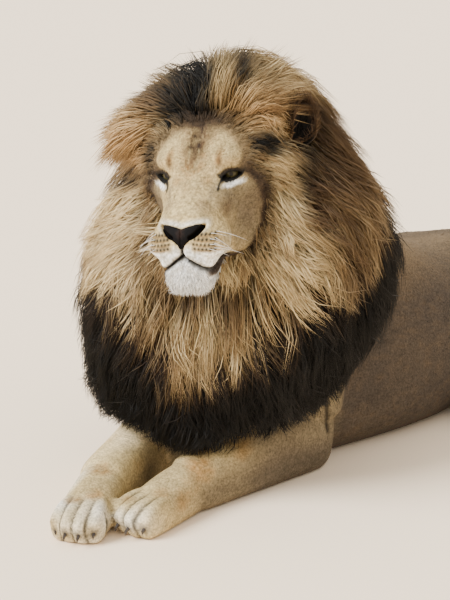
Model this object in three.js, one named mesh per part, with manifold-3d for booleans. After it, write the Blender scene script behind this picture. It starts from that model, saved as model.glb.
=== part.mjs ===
// A life-size adult male lion at rest: lying on its chest, forepaws together in front of its left
// shoulder, head raised and turned to its left. Millimetres, +Z up. The animal faces -Y and its left
// side is +X. The origin is on the floor, under the chest, where its flat resting patch begins.
import * as THREE from "three";
import { mergeVertices } from "three/addons/utils/BufferGeometryUtils.js";
import Module from "manifold-3d";

const wasm = await Module();
wasm.setup();

// ---------------------------------------------------------------- driving dimensions

const GAP = 0.35; // clearance kept between two nodes that meet
const MOUTH_GAP = 1.6; // height of the slot between the lips
const FLOOR_TRIM = 8; // how far resting legs dip under the floor before they are cut flat
const BELLY_TRIM = 22; // the same for the chest and belly
const MIDLINE_GAP = 0.4; // between the two halves of the mane

const BODY = { shoulder: 506, back: 464, loin: 408, croup: 386, width: 470 };
const HEAD = { at: [180, -307, 706], yaw: 25.5, pitch: 9, roll: -5 }; // midpoint between the eyes
const EYE = { x: 58, y: 1, z: 0, radius: 22.4, width: 44, height: 21, tilt: 9, outward: 20 };
const NOSE = { width: 86, top: -53, bottom: -97, front: -172, back: -138 };
const EAR = {
  x: { left: 172, right: 148 },
  y: 134,
  z: 40,
  width: 33,
  height: 50,
  thick: 9,
  yaw: 44,
  lean: 20,
};
const PAW = { toe: 18 };
const MANE = {
  crown: 955,
  hem: 40,
  crest: 792, // the level cut under the crest
  rootDepth: 50,
  coreHem: 126,
  spacing: 176,
  tiers: [866, 806, 738, 660, 574, 486, 398, 306],
  reach: [118, 166], // lowest tips: in the middle of the front, elsewhere
};
const PARTING = { at: [92, -130, 0], turn: 22 }; // upright cut between left and right
const DOME = 170; // height of the mane's rounded top
const LOCK = {
  length: 215,
  width: 92,
  thick: 19,
  sunk: 12,
  tipIn: 4,
  tipOut: -12,
  around: 3,
  along: 3,
  phase: 90, // sets a ridge of the lock outwards
  steps: 5,
  widths: [0.75, 1, 0.98, 0.82, 0.55, 0.12],
};

const FRINGE = {
  count: 5,
  from: -6,
  to: 104,
  width: 46,
  left: { reach: 124, rise: 146, hang: 20 },
  right: { reach: 206, rise: 96, hang: 54 },
};
const BEARD = { count: 6, length: 44, width: 20, thick: 10 };
const TUFT = { count: 7, width: 26, thick: 12 };

const COLOURS = {
  coat: 0xb8935f,
  face: 0xc2a47a,
  chin: 0xe9e2d6,
  nose: 0x4a342c,
  eye: 0x6f6236,
  ear: 0x7a5a38,
  gold: 0xb98b4e,
  black: 0x231d19,
  claw: 0x2a2522,
};

// ---------------------------------------------------------------- small tools

const vec = (values) => new THREE.Vector3(...values);
const radians = THREE.MathUtils.degToRad;
const smooth = THREE.MathUtils.smoothstep;
const UP = vec([0, 0, 1]);
const RIGHT = vec([1, 0, 0]);
const BEHIND = vec([0, 1, 0]);
const mix = THREE.MathUtils.lerp;

// A repeatable stream of numbers from 0 to 1.
function stream(seed) {
  let state = seed;
  return () => {
    state = (state + 0x6d2b79f5) | 0;
    let t = Math.imul(state ^ (state >>> 15), 1 | state);
    t = (t + Math.imul(t ^ (t >>> 7), 61 | t)) ^ t;
    return ((t ^ (t >>> 14)) >>> 0) / 4294967296;
  };
}

// The same station, lock or bump on the other side of the animal.
const mirrored = (side, [x, y, z]) => [side * x, y, z];

// A closed tube through stations. Each station has a centre and its reach to the side, up and down,
// and may turn its section about the centre line. Box and sole, under 1, square its upper and lower
// half. A bias over 1 crowds its rings towards the start. Phase turns its few sides, in degrees.
class Loft {
  constructor({ stations, around, along, top = [0, 0, 1], ...options }) {
    const { box = 1, sole = box, ends = [0.12, 0.12], bias = 1, phase = 0 } = options;
    const curve = (pick) =>
      new THREE.CatmullRomCurve3(stations.map((s) => vec(pick(s))), false, "catmullrom", 0.5);
    this.centre = curve((s) => s.at);
    this.reach = curve((s) => [s.side, s.up ?? s.side, s.down ?? s.up ?? s.side]);
    this.turn = curve((s) => [s.turn ?? 0, 0, 0]);
    this.top = vec(top);
    Object.assign(this, { around, along, box, sole, ends, bias, phase: radians(phase) });
  }

  // How full the section is at t: it closes in a round end at either tip.
  fullness(t) {
    const [first, last] = this.ends;
    const near = Math.min(t / first, (1 - t) / last, 1);
    return Math.sqrt(Math.max(0, 1 - (1 - near) ** 2));
  }

  // The point on the surface at t along the centre line and an angle round it, 0 on its left.
  point(t, angle) {
    const tangent = this.centre.getTangent(t);
    const side = new THREE.Vector3().crossVectors(tangent, this.top).normalize();
    side.applyAxisAngle(tangent, radians(this.turn.getPoint(t).x));
    const up = new THREE.Vector3().crossVectors(side, tangent);
    const reach = this.reach.getPoint(t);
    const square = Math.sin(angle) < 0 ? this.sole : this.box;
    const power = (value) => Math.sign(value) * Math.abs(value) ** square;
    const [across, rise] = [power(Math.cos(angle)), power(Math.sin(angle))];
    const full = this.fullness(t);
    return this.centre
      .getPoint(t)
      .addScaledVector(side, across * Math.max(reach.x, 0) * full)
      .addScaledVector(up, rise * Math.max(rise > 0 ? reach.y : reach.z, 0) * full);
  }

  // The outward direction at the same place.
  normal(t, angle) {
    const step = 0.01;
    const [before, after] = [Math.max(t - step, 0.001), Math.min(t + step, 0.999)];
    const along = this.point(after, angle).sub(this.point(before, angle));
    const round = this.point(t, angle + step).sub(this.point(t, angle - step));
    const out = new THREE.Vector3().crossVectors(along, round).normalize();
    return out.dot(this.point(t, angle).sub(this.centre.getPoint(t))) < 0 ? out.negate() : out;
  }

  geometry(around = this.around, along = this.along) {
    const geometry = new THREE.SphereGeometry(1, around, along);
    const { position, uv } = geometry.attributes;
    for (let i = 0; i < position.count; i += 1) {
      const t = ((1 - Math.cos(Math.PI * (1 - uv.getY(i)))) / 2) ** this.bias;
      const { x, y, z } = this.point(t, uv.getX(i) * 2 * Math.PI + this.phase);
      position.setXYZ(i, x, y, z);
    }
    return geometry;
  }
}

// A flat tapered lock through points, with its broad faces towards top.
function blade(points, half, thick, top) {
  const stations = points.map((at, i) => {
    const full = LOCK.widths[i];
    return { at: at.toArray(), side: half * full, up: thick * full };
  });
  const { around, along, phase } = LOCK;
  const ends = [0.1, 0.06];
  return new Loft({ stations, around, along, phase, ends, top: top.toArray() }).geometry();
}

// The points of a lock that bends once on its way.
const bent = (from, through, to) =>
  new THREE.QuadraticBezierCurve3(vec(from), vec(through), vec(to)).getPoints(LOCK.steps);

// Pushes a surface out or in around a few places: { at, reach, push }, fading to nothing at reach.
function sculpt(geometry, bumps) {
  const { position } = geometry.attributes;
  const point = new THREE.Vector3();
  for (let i = 0; i < position.count; i += 1) {
    point.fromBufferAttribute(position, i);
    const shift = new THREE.Vector3();
    for (const { at, reach, push } of bumps) {
      const away = point.clone().sub(vec(at)).divide(vec(reach)).length();
      if (away < 1) shift.addScaledVector(vec(push), (1 - away * away) ** 2);
    }
    point.add(shift);
    position.setXYZ(i, point.x, point.y, point.z);
  }
  return geometry;
}

// Both sides' copies of a bump given for the left side.
const paired = (bump) =>
  [1, -1].map((side) => ({
    at: mirrored(side, bump.at),
    reach: bump.reach,
    push: mirrored(side, bump.push),
  }));

// The geometry's positions alone, with shared vertices merged and its faces pointing out.
function closed(geometry) {
  const bare = new THREE.BufferGeometry();
  bare.setAttribute("position", geometry.attributes.position);
  if (geometry.index) bare.setIndex(geometry.index);
  return mergeVertices(bare, 1e-3);
}

function toSolid(geometry) {
  const merged = closed(geometry);
  const vertProperties = new Float32Array(merged.attributes.position.array);
  const triVerts = new Uint32Array(merged.index.array);
  const build = () =>
    new wasm.Manifold(new wasm.Mesh({ numProp: 3, vertProperties, triVerts }));
  const made = build();
  if (made.volume() > 0) return made;
  for (let i = 0; i < triVerts.length; i += 3) {
    [triVerts[i + 1], triVerts[i + 2]] = [triVerts[i + 2], triVerts[i + 1]];
  }
  return build();
}

function toGeometry(solid) {
  const { vertProperties, triVerts, numProp } = solid.getMesh();
  const places = new Float32Array((vertProperties.length / numProp) * 3);
  for (let i = 0; i * 3 < places.length; i += 1) {
    places.set(vertProperties.subarray(i * numProp, i * numProp + 3), i * 3);
  }
  const geometry = new THREE.BufferGeometry();
  geometry.setAttribute("position", new THREE.BufferAttribute(places, 3));
  geometry.setIndex(new THREE.BufferAttribute(triVerts, 1));
  return geometry;
}

// A copy of a shape grown by a clearance, to cut its neighbours with.
function grown(geometry, clearance = GAP) {
  const merged = closed(toGeometry(toSolid(geometry)));
  merged.computeVertexNormals();
  const { position, normal } = merged.attributes;
  for (let i = 0; i < position.count; i += 1) {
    position.setXYZ(
      i,
      position.getX(i) + normal.getX(i) * clearance,
      position.getY(i) + normal.getY(i) * clearance,
      position.getZ(i) + normal.getZ(i) * clearance,
    );
  }
  return toSolid(merged);
}

const join = (solids) => solids.reduce((whole, next) => whole.add(next));
const cut = (solid, cutters) => cutters.reduce((rest, cutter) => rest.subtract(cutter), solid);
const placed = (geometry, matrix) => geometry.clone().applyMatrix4(matrix);

// A node's one closed surface: the largest, without loose scraps or sealed hollows.
const largest = (solid) =>
  solid.decompose().reduce((best, next) => (next.volume() > best.volume() ? next : best));

const floorBlock = toSolid(new THREE.BoxGeometry(6000, 6000, 400).translate(0, 0, -200));

const lion = new THREE.Group();

function addNode(name, solid, colour, parent = lion, roughness = 0.85) {
  const material = new THREE.MeshStandardMaterial({ color: colour, roughness, metalness: 0 });
  const mesh = new THREE.Mesh(toGeometry(largest(solid)), material);
  mesh.name = name;
  parent.add(mesh);
  return mesh;
}

// ---------------------------------------------------------------- head, in its own frame

const headGroup = new THREE.Group();
headGroup.position.set(...HEAD.at);
headGroup.rotation.set(radians(HEAD.pitch), radians(HEAD.roll), radians(HEAD.yaw), "ZXY");
headGroup.updateMatrixWorld(true);
lion.add(headGroup);
const headMatrix = headGroup.matrixWorld;

// The skull with its flesh, from the nose to the nape. The widest level is at z.
const skull = new Loft({
  around: 28,
  along: 20,
  bias: 1.3,
  box: 0.86,
  ends: [0.1, 0.16],
  stations: [
    { at: [0, -162, -84], side: 44, up: 34, down: 62 },
    { at: [0, -132, -88], side: 60, up: 50, down: 86 },
    { at: [0, -96, -82], side: 63, up: 60, down: 92 },
    { at: [0, -56, -72], side: 68, up: 70, down: 92 },
    { at: [0, -14, -48], side: 86, up: 74, down: 102 },
    { at: [0, 28, -22], side: 112, up: 90, down: 122 },
    { at: [0, 72, -6], side: 124, up: 100, down: 132 },
    { at: [0, 126, 0], side: 120, up: 100, down: 118 },
    { at: [0, 180, 0], side: 100, up: 84, down: 94 },
    { at: [0, 228, -6], side: 66, up: 56, down: 60 },
  ],
});

const headBumps = [
  { at: [38, -134, -96], reach: [42, 48, 36], push: [16, -12, -3] }, // whisker pad
  { at: [64, -104, -92], reach: [34, 50, 36], push: [10, 0, -2] }, // back of the pad
  { at: [66, -104, -132], reach: [36, 60, 24], push: [-8, 4, 0] }, // under the lip
  { at: [40, -34, -10], reach: [24, 40, 26], push: [-6, 10, -6] }, // beside the bridge
  { at: [64, -24, -2], reach: [36, 34, 26], push: [0, 15, 0] }, // eye socket
  { at: [56, -12, 34], reach: [44, 32, 22], push: [3, -13, 4] }, // brow
  { at: [104, 22, -34], reach: [44, 64, 44], push: [11, -8, 0] }, // cheekbone
  { at: [82, -46, -74], reach: [36, 46, 48], push: [-6, 6, 0] }, // hollow of the cheek
  { at: [88, 34, -100], reach: [60, 84, 66], push: [17, -12, -32] }, // jowl
  { at: [74, 4, -138], reach: [62, 92, 52], push: [16, 0, -44] }, // corner of the jaw
].flatMap(paired);
headBumps.push({ at: [0, -132, -150], reach: [64, 50, 44], push: [0, -14, -10] }); // chin
headBumps.push({ at: [0, 10, 62], reach: [18, 60, 50], push: [0, 6, -5] }); // forehead furrow
headBumps.push({ at: [0, -70, -20], reach: [36, 70, 40], push: [0, -4, 7] }); // bridge of the nose
headBumps.push({ at: [0, -164, -112], reach: [10, 24, 30], push: [0, 10, 0] }); // under the nose

const skullShape = sculpt(skull.geometry(), headBumps);

// The outline of the leather of the nose, seen from the front.
function noseOutline(scale) {
  const [half, top, bottom] = [(NOSE.width / 2) * scale, NOSE.top, NOSE.bottom];
  const shape = new THREE.Shape();
  shape.moveTo(-half, top - 6);
  shape.quadraticCurveTo(-half * 0.5, top + 4, 0, top - 1);
  shape.quadraticCurveTo(half * 0.5, top + 4, half, top - 6);
  shape.quadraticCurveTo(half * 0.95, top - 20, half * 0.42, mix(top, bottom, 0.66));
  shape.quadraticCurveTo(half * 0.16, mix(top, bottom, 0.8), 3, bottom);
  shape.lineTo(-3, bottom);
  shape.quadraticCurveTo(-half * 0.16, mix(top, bottom, 0.8), -half * 0.42, mix(top, bottom, 0.66));
  shape.quadraticCurveTo(-half * 0.95, top - 20, -half, top - 6);
  return shape;
}

// A prism of a front outline, from one depth to another along the head.
function frontPrism(outline, front, back, segments = 4) {
  const depth = back - front;
  const prism = new THREE.ExtrudeGeometry(outline, { depth, bevelEnabled: false, curveSegments: segments });
  return prism.rotateX(Math.PI / 2).translate(0, back, 0);
}

function buildNose() {
  const prism = toSolid(frontPrism(noseOutline(1), NOSE.front - 20, NOSE.back));
  const nostrils = [1, -1].map((side) => {
    const path = [
      { at: [side * 17, -186, -66], side: 6, up: 5 },
      { at: [side * 19, -168, -63], side: 7.5, up: 5.5 },
      { at: [side * 25, -156, -59], side: 8, up: 4.5 },
      { at: [side * 31, -148, -56], side: 3, up: 2 },
    ];
    return toSolid(new Loft({ stations: path, around: 8, along: 6 }).geometry());
  });
  return cut(prism.intersect(grown(skullShape, 3.5)), nostrils);
}

// The almond between the lids, seen along the eye's own axis, as a prism from the eye outwards.
function lidOpening(side) {
  const [half, rise] = [EYE.width / 2, EYE.height / 2];
  const almond = new THREE.Shape();
  almond.moveTo(-half, 0);
  almond.quadraticCurveTo(-half * 0.2, rise * 2.1, half, 0);
  almond.quadraticCurveTo(half * 0.1, -rise * 1.8, -half, 0);
  const prism = new THREE.ExtrudeGeometry(almond, { depth: 60, bevelEnabled: false, curveSegments: 5 });
  return placed(prism.rotateX(Math.PI / 2), eyeMatrix(side));
}

// Places a shape made round the origin, looking along -Y, into one eye socket.
function eyeMatrix(side) {
  const turn = new THREE.Euler(0, side * -radians(EYE.tilt), side * radians(EYE.outward), "ZYX");
  const matrix = new THREE.Matrix4().makeRotationFromEuler(turn);
  return matrix.setPosition(side * EYE.x, EYE.y, EYE.z);
}

const ball = (radius, around, along) => new THREE.SphereGeometry(radius, around, along);
const eyeShape = (side) => placed(ball(EYE.radius, 12, 8).rotateX(Math.PI / 2), eyeMatrix(side));

// The lids stand over the eyeball as a thin rind with an almond opening.
function lids(side) {
  const rind = ball(EYE.radius + 3.2, 16, 10).rotateX(Math.PI / 2).scale(1.12, 1, 0.96);
  return toSolid(placed(rind, eyeMatrix(side)));
}

// The surface between the lips, as a thin bent slab: it falls from the front of the mouth to its
// corner, runs back under the cheek and drops out through the throat.
function mouthSlab() {
  const line = new THREE.Shape();
  const [lip, corner] = [-112, -132];
  line.moveTo(-200, lip + 2);
  line.quadraticCurveTo(-130, lip - 2, -96, lip - 12);
  line.quadraticCurveTo(-70, corner - 4, -46, corner);
  line.lineTo(-20, corner + 6);
  line.lineTo(60, -240);
  line.lineTo(60 - MOUTH_GAP * 1.4, -240);
  line.lineTo(-21, corner + 6 - MOUTH_GAP);
  line.lineTo(-46, corner - MOUTH_GAP);
  line.quadraticCurveTo(-70, corner - 4 - MOUTH_GAP, -96, lip - 12 - MOUTH_GAP);
  line.quadraticCurveTo(-130, lip - 2 - MOUTH_GAP, -200, lip + 2 - MOUTH_GAP);
  const slab = new THREE.ExtrudeGeometry(line, { depth: 300, bevelEnabled: false, curveSegments: 6 });
  return slab.applyMatrix4(
    new THREE.Matrix4().set(0, 0, 1, -150, 1, 0, 0, 0, 0, 1, 0, 0, 0, 0, 0, 1),
  );
}

// One ear: a round leaf, the bowl that hollows it from the front, and its root on the skull.
function earShapes(side, x) {
  const turn = new THREE.Euler(radians(-14), radians(side * EAR.lean), radians(side * EAR.yaw), "ZYX");
  const matrix = new THREE.Matrix4().makeRotationFromEuler(turn).setPosition(side * x, EAR.y, EAR.z);
  const leaf = ball(1, 11, 7).scale(EAR.width, EAR.thick * 2.1, EAR.height);
  const bowl = ball(1, 11, 5).scale(EAR.width - 7, EAR.thick * 2, EAR.height - 8);
  return {
    leaf: placed(leaf.translate(0, EAR.thick * 0.5, 0), matrix),
    bowl: placed(bowl.translate(0, -EAR.thick * 1.1, 3), matrix),
    root: ball(1, 7, 5).scale(38, 20, 32).translate(side * (x - 38), EAR.y + 6, EAR.z - 24),
  };
}

function buildEar({ leaf, bowl, root }) {
  const cup = toSolid(leaf).subtract(toSolid(bowl));
  return cut(cup.add(toSolid(root).subtract(toSolid(bowl))), [grown(skullShape)]);
}

const eyes = { left: eyeShape(1), right: eyeShape(-1) };
const ears = { left: earShapes(1, EAR.x.left), right: earShapes(-1, EAR.x.right) };
const noseSolid = largest(buildNose());
const noseCutter = grown(toGeometry(noseSolid));
const slab = toSolid(mouthSlab());
const facePieces = cut(
  join([toSolid(skullShape), lids(1), lids(-1)]),
  [toSolid(lidOpening(1)), toSolid(lidOpening(-1)), grown(eyes.left), grown(eyes.right), noseCutter, slab],
)
  .decompose()
  .sort((a, b) => b.volume() - a.volume());
const [headSolid, jawPiece] = facePieces;

// The white locks that hang from the chin, in a curved row along the edge of the jaw.
function beard(random) {
  return Array.from({ length: BEARD.count }, (_, i) => {
    const angle = mix(-1.25, 1.25, i / (BEARD.count - 1)) * (Math.PI / 2);
    const [x, y] = [34 * Math.sin(angle), -118 - 26 * Math.cos(angle)];
    const drop = BEARD.length * mix(0.8, 1.1, random()) * mix(1, 0.7, Math.abs(angle) / 2);
    const from = [x * 0.8, y + 12, -148];
    const through = [x * 1.16, y - 8, -156 - drop * 0.4];
    const to = [x * 1.05, y + 8, -150 - drop];
    const top = new THREE.Vector3(Math.sin(angle), -Math.cos(angle), 0);
    return toSolid(blade(bent(from, through, to), BEARD.width, BEARD.thick, top));
  });
}

const jawSolid = cut(join([jawPiece, ...beard(stream(5))]), [slab]);

addNode("head", headSolid, COLOURS.face, headGroup);
addNode("lower_jaw", jawSolid, COLOURS.chin, headGroup);
addNode("nose", noseSolid, COLOURS.nose, headGroup, 0.5);
for (const side of ["left", "right"]) {
  addNode(`eye_${side}`, toSolid(eyes[side]), COLOURS.eye, headGroup, 0.1);
  addNode(`ear_${side}`, buildEar(ears[side]), COLOURS.ear, headGroup);
}

// ---------------------------------------------------------------- torso and neck

const torsoShape = new Loft({
  around: 20,
  along: 14,
  box: 0.84,
  sole: 0.66,
  ends: [0.1, 0.1],
  stations: [
    { at: [30, -190, 280], side: 96, up: 80, down: 130 },
    { at: [12, -90, 240], side: 140, up: 210, down: 240 + BELLY_TRIM },
    { at: [4, 40, 200], side: 164, up: BODY.shoulder - 200, down: 200 + BELLY_TRIM },
    { at: [0, 200, 170], side: 202, up: BODY.shoulder - 170, down: 170 + BELLY_TRIM },
    { at: [0, 400, 150], side: BODY.width / 2, up: BODY.back - 150, down: 150 + BELLY_TRIM },
    { at: [0, 580, 150], side: BODY.width / 2 - 6, up: BODY.loin + 14 - 150, down: 150 + BELLY_TRIM },
    { at: [0, 760, 180], side: 184, up: BODY.loin - 180, down: 176 },
    { at: [0, 920, 210], side: 150, up: BODY.croup - 210, down: 182 },
    { at: [0, 1040, 216], side: 116, up: 118, down: 140 },
  ],
}).geometry();

const neckShape = new Loft({
  around: 10,
  along: 6,
  top: [0, 0, 1],
  ends: [0.08, 0.08],
  stations: [
    { at: [92, -190, 730], side: 92, up: 80, down: 90 },
    { at: [74, -130, 690], side: 112, up: 100, down: 130 },
    { at: [48, -40, 600], side: 140, up: 130, down: 190 },
    { at: [22, 60, 480], side: 160, up: 150, down: 220 },
    { at: [4, 160, 370], side: 160, up: 140, down: 200 },
  ],
}).geometry();

// ---------------------------------------------------------------- legs

// A toe with its round knuckle, from inside the paw to its tip on the floor.
function toe(x, reach, spread, rough) {
  const stations = [
    { at: [x * 0.75, -46, 44], side: 13, up: 20, down: 26 },
    { at: [x * 0.95, reach * 0.5 - 40, 46], side: 15, up: 26, down: 28 },
    { at: [x + spread * 0.6, reach * 0.78 - 22, 34], side: PAW.toe, up: 30, down: 34 + FLOOR_TRIM },
    { at: [x + spread, reach, 22], side: 15, up: 21, down: 22 + FLOOR_TRIM },
  ];
  const tube = new Loft({ stations, around: 7, along: 5, box: 0.9, sole: 0.75, ends: [0.1, 0.14] });
  return toSolid(rough ? tube.geometry(6, 4) : tube.geometry());
}

// The tip of a claw that shows out of its toe: a short hook.
function claw(x, reach, spread) {
  const stations = [
    { at: [x + spread, reach + 16, 30], side: 4.5, up: 6 },
    { at: [x + spread, reach + 4, 30], side: 4.5, up: 6 },
    { at: [x + spread, reach - 6, 25], side: 3.4, up: 4.6 },
    { at: [x + spread, reach - 9, 15], side: 1.4, up: 1.8 },
  ];
  return new Loft({ stations, around: 5, along: 3, ends: [0.1, 0.1] }).geometry();
}

const TOES = [
  { x: -33, reach: -180, spread: -5 },
  { x: -11.5, reach: -202, spread: -2 },
  { x: 11.5, reach: -204, spread: 2 },
  { x: 33, reach: -184, spread: 5 },
];

function pawSolid(scale, rough) {
  const palm = new Loft({
    around: 10,
    along: 6,
    box: 0.88,
    sole: 0.66,
    stations: [
      { at: [0, 46, 52], side: 44, up: 46, down: 52 },
      { at: [0, 0, 50], side: 47, up: 50, down: 50 + FLOOR_TRIM },
      { at: [0, -70, 42], side: 50, up: 46, down: 42 + FLOOR_TRIM },
      { at: [0, -130, 30], side: 46, up: 32, down: 30 + FLOOR_TRIM },
    ],
  });
  const toes = TOES.map(({ x, reach, spread }) => toe(x, reach, spread, rough));
  const whole = toGeometry(join([toSolid(rough ? palm.geometry(8, 4) : palm.geometry()), ...toes]));
  return toSolid(whole.scale(scale, scale, scale));
}

// A paw stands on the floor at its wrist or heel and points at a bearing from -Y, left positive.
function pawMatrix([x, y], bearing, lift = 0) {
  return new THREE.Matrix4().makeRotationZ(radians(bearing)).setPosition(x, y, lift);
}

function addPaw(name, at, bearing, scale, rough = false) {
  const matrix = pawMatrix(at, bearing);
  const claws = TOES.map(({ x, reach, spread }) => {
    const shape = claw(x, reach, spread).scale(scale, scale, scale);
    return placed(shape, matrix);
  });
  const whole = toSolid(placed(toGeometry(pawSolid(scale, rough)), matrix));
  const shape = cut(whole, [floorBlock, ...claws.map((c) => grown(c))]);
  claws.forEach((horn, i) => {
    const solid = cut(toSolid(horn), [floorBlock]);
    addNode(`${name}_claw_${i + 1}`, solid, COLOURS.claw, lion, 0.4);
  });
  return addNode(name, shape, COLOURS.coat);
}

const FORE = {
  left: { elbow: [150, 74, 74], wrist: [126, -286], bearing: 5, shoulder: [126, 60, 320] },
  right: { elbow: [-140, -58, 72], wrist: [-4, -408], bearing: 30, shoulder: [-126, 10, 320] },
};
const HIND = {
  left: { side: 1, hock: [262, 880], bearing: 8 },
  right: { side: -1, hock: [-262, 880], bearing: -8 },
};

function foreleg({ elbow, wrist, shoulder }) {
  const [ex, ey, ez] = elbow;
  const [wx, wy] = wrist;
  const between = (share, z) => [mix(ex, wx, share), mix(ey, wy, share), z];
  const forearm = new Loft({
    around: 12,
    along: 8,
    box: 0.86,
    sole: 0.64,
    ends: [0.1, 0.1],
    stations: [
      { at: between(-0.1, ez - 4), side: 46, up: 52, down: ez - 8 },
      { at: between(0.06, ez), side: 62, up: 80, down: ez + FLOOR_TRIM },
      { at: between(0.4, ez - 8), side: 62, up: 80, down: ez - 8 + FLOOR_TRIM },
      { at: between(0.72, 56), side: 58, up: 70, down: 56 + FLOOR_TRIM },
      { at: between(1.0, 50), side: 55, up: 62, down: 50 + FLOOR_TRIM },
      { at: between(1.08, 50), side: 46, up: 50, down: 46 },
    ],
  });
  const upper = new Loft({
    around: 10,
    along: 6,
    top: [0, -1, 0],
    stations: [
      { at: shoulder, side: 70, up: 110, down: 120 },
      { at: shoulder.map((s, i) => mix(s, elbow[i], 0.5)), side: 70, up: 100, down: 110 },
      { at: [ex, ey + 6, ez + 24], side: 60, up: 74, down: 66 },
    ],
  });
  return [forearm.geometry(), upper.geometry()];
}

// The thigh lies folded along the flank with the knee forward, and the shank runs back to the hock.
function hindleg({ side, hock }) {
  const [hx, hy] = hock;
  const thigh = new Loft({
    around: 12,
    along: 9,
    box: 0.92,
    ends: [0.14, 0.14],
    stations: [
      { at: [side * 116, 950, 250], side: 60, up: 100, down: 120 },
      { at: [side * 150, 860, 230], side: 84, up: 136, down: 170 },
      { at: [side * 184, 730, 200], side: 84, up: 138, down: 176 },
      { at: [side * 208, 606, 160], side: 66, up: 104, down: 134 },
      { at: [side * 216, 540, 146], side: 46, up: 66, down: 90 },
    ],
  });
  const shank = new Loft({
    around: 10,
    along: 6,
    stations: [
      { at: [side * 216, 596, 116], side: 52, up: 66, down: 80 },
      { at: [side * 230, 730, 88], side: 52, up: 70, down: 80 },
      { at: [side * 250, 860, 66], side: 40, up: 50, down: 60 },
      { at: [hx, hy + 60, 54], side: 34, up: 38, down: 54 + FLOOR_TRIM },
    ],
  });
  const foot = new Loft({
    around: 8,
    along: 5,
    box: 0.9,
    sole: 0.7,
    stations: [
      { at: [hx, hy + 66, 46], side: 34, up: 40, down: 46 },
      { at: [hx, hy, 44], side: 38, up: 40, down: 44 + FLOOR_TRIM },
      { at: [hx + side * 6, hy - 110, 42], side: 42, up: 38, down: 42 + FLOOR_TRIM },
      { at: [hx + side * 14, hy - 190, 40], side: 44, up: 36, down: 40 },
    ],
  });
  return [thigh, shank, foot].map((part) => part.geometry());
}

const torsoCutter = grown(torsoShape);
const legCutters = [];
const FORE_PAW_SCALE = 1.03;
const HIND_PAW_SCALE = 0.9;

for (const [side, leg] of Object.entries(FORE)) {
  const paw = addPaw(`forepaw_${side}`, leg.wrist, leg.bearing, FORE_PAW_SCALE);
  const pieces = foreleg(leg);
  const cutters = [grown(paw.geometry), floorBlock, torsoCutter];
  addNode(`foreleg_${side}`, cut(join(pieces.map(toSolid)), cutters), COLOURS.coat);
  legCutters.push(...pieces.map((piece) => grown(piece)));
}
for (const [side, leg] of Object.entries(HIND)) {
  const at = [leg.hock[0] + leg.side * 14, leg.hock[1] - 190];
  const paw = addPaw(`hindpaw_${side}`, at, leg.bearing, HIND_PAW_SCALE, true);
  const cutters = [grown(paw.geometry), floorBlock, torsoCutter];
  addNode(`hindleg_${side}`, cut(join(hindleg(leg).map(toSolid)), cutters), COLOURS.coat);
}

addNode("torso", cut(toSolid(torsoShape), [floorBlock]), COLOURS.coat);
const headCutters = [
  grown(placed(skullShape, headMatrix)),
  ...Object.values(ears).flatMap(({ leaf, root }) =>
    [leaf, root].map((shape) => grown(placed(shape, headMatrix))),
  ),
];
const bodyCutters = [headCutters[0], torsoCutter, ...legCutters];
addNode("neck", cut(toSolid(neckShape), bodyCutters), COLOURS.coat);

// ---------------------------------------------------------------- tail

const TAIL = [
  [0, 950, 296],
  [6, 1090, 262],
  [20, 1184, 176],
  [40, 1256, 92],
  [110, 1330, 36],
  [220, 1350, 29],
  [330, 1310, 28],
  [410, 1220, 28],
  [446, 1110, 28],
  [450, 1010, 28],
];

const tailPath = new THREE.CatmullRomCurve3(TAIL.map(vec), false, "catmullrom", 0.5);

// A stretch of the tail between two shares of its length.
function tailStretch(from, to, thick, slim) {
  const steps = 5;
  const stations = Array.from({ length: steps + 1 }, (_, i) => {
    const share = i / steps;
    const at = tailPath.getPoint(mix(from, to, share));
    const radius = mix(thick, slim, share);
    return { at: at.toArray(), side: radius, down: Math.min(radius, at.z + 1.5), up: radius };
  });
  return new Loft({ stations, around: 8, along: 8, ends: [0.03, 0.03] }).geometry();
}

const tailParts = [
  ["tail_base", tailStretch(0, 0.34, 44, 30)],
  ["tail_middle", tailStretch(0.335, 0.665, 30, 26)],
  ["tail_end", tailStretch(0.66, 0.96, 26, 20)],
];
let tailCutters = [torsoCutter];
for (const [name, shape] of tailParts) {
  addNode(name, cut(toSolid(shape), [floorBlock, ...tailCutters]), COLOURS.coat);
  tailCutters = [grown(shape)];
}
const tuftShape = new Loft({
  around: 8,
  along: 6,
  ends: [0.1, 0.2],
  stations: [
    { at: [448, 1080, 34], side: 28, up: 28, down: 34 },
    { at: [450, 1010, 38], side: 44, up: 40, down: 40 },
    { at: [450, 940, 36], side: 40, up: 34, down: 38 },
    { at: [446, 850, 20], side: 14, up: 12, down: 20 },
  ],
}).geometry();

// The black locks round the end of the tail, lying towards its tip.
function tuftLocks(random) {
  return Array.from({ length: TUFT.count }, (_, i) => {
    const angle = (i / TUFT.count) * 2 * Math.PI;
    const [across, rise] = [Math.cos(angle), Math.sin(angle)];
    const back = 1046 - 34 * (i % 3);
    const length = mix(130, 175, random());
    const from = [449 + 12 * across, back, 34 + 12 * rise];
    const through = [449 + 62 * across, back - length * 0.45, 40 + 40 * rise];
    const to = [447 + 40 * across, back - length, 24 + 16 * rise];
    const top = new THREE.Vector3(across, 0, rise);
    return toSolid(blade(bent(from, through, to), TUFT.width, TUFT.thick, top));
  });
}

const tuft = join([toSolid(tuftShape), ...tuftLocks(stream(3))]);
addNode("tail_tuft", cut(tuft, [floorBlock, ...tailCutters]), COLOURS.black);

// ---------------------------------------------------------------- mane

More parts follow.
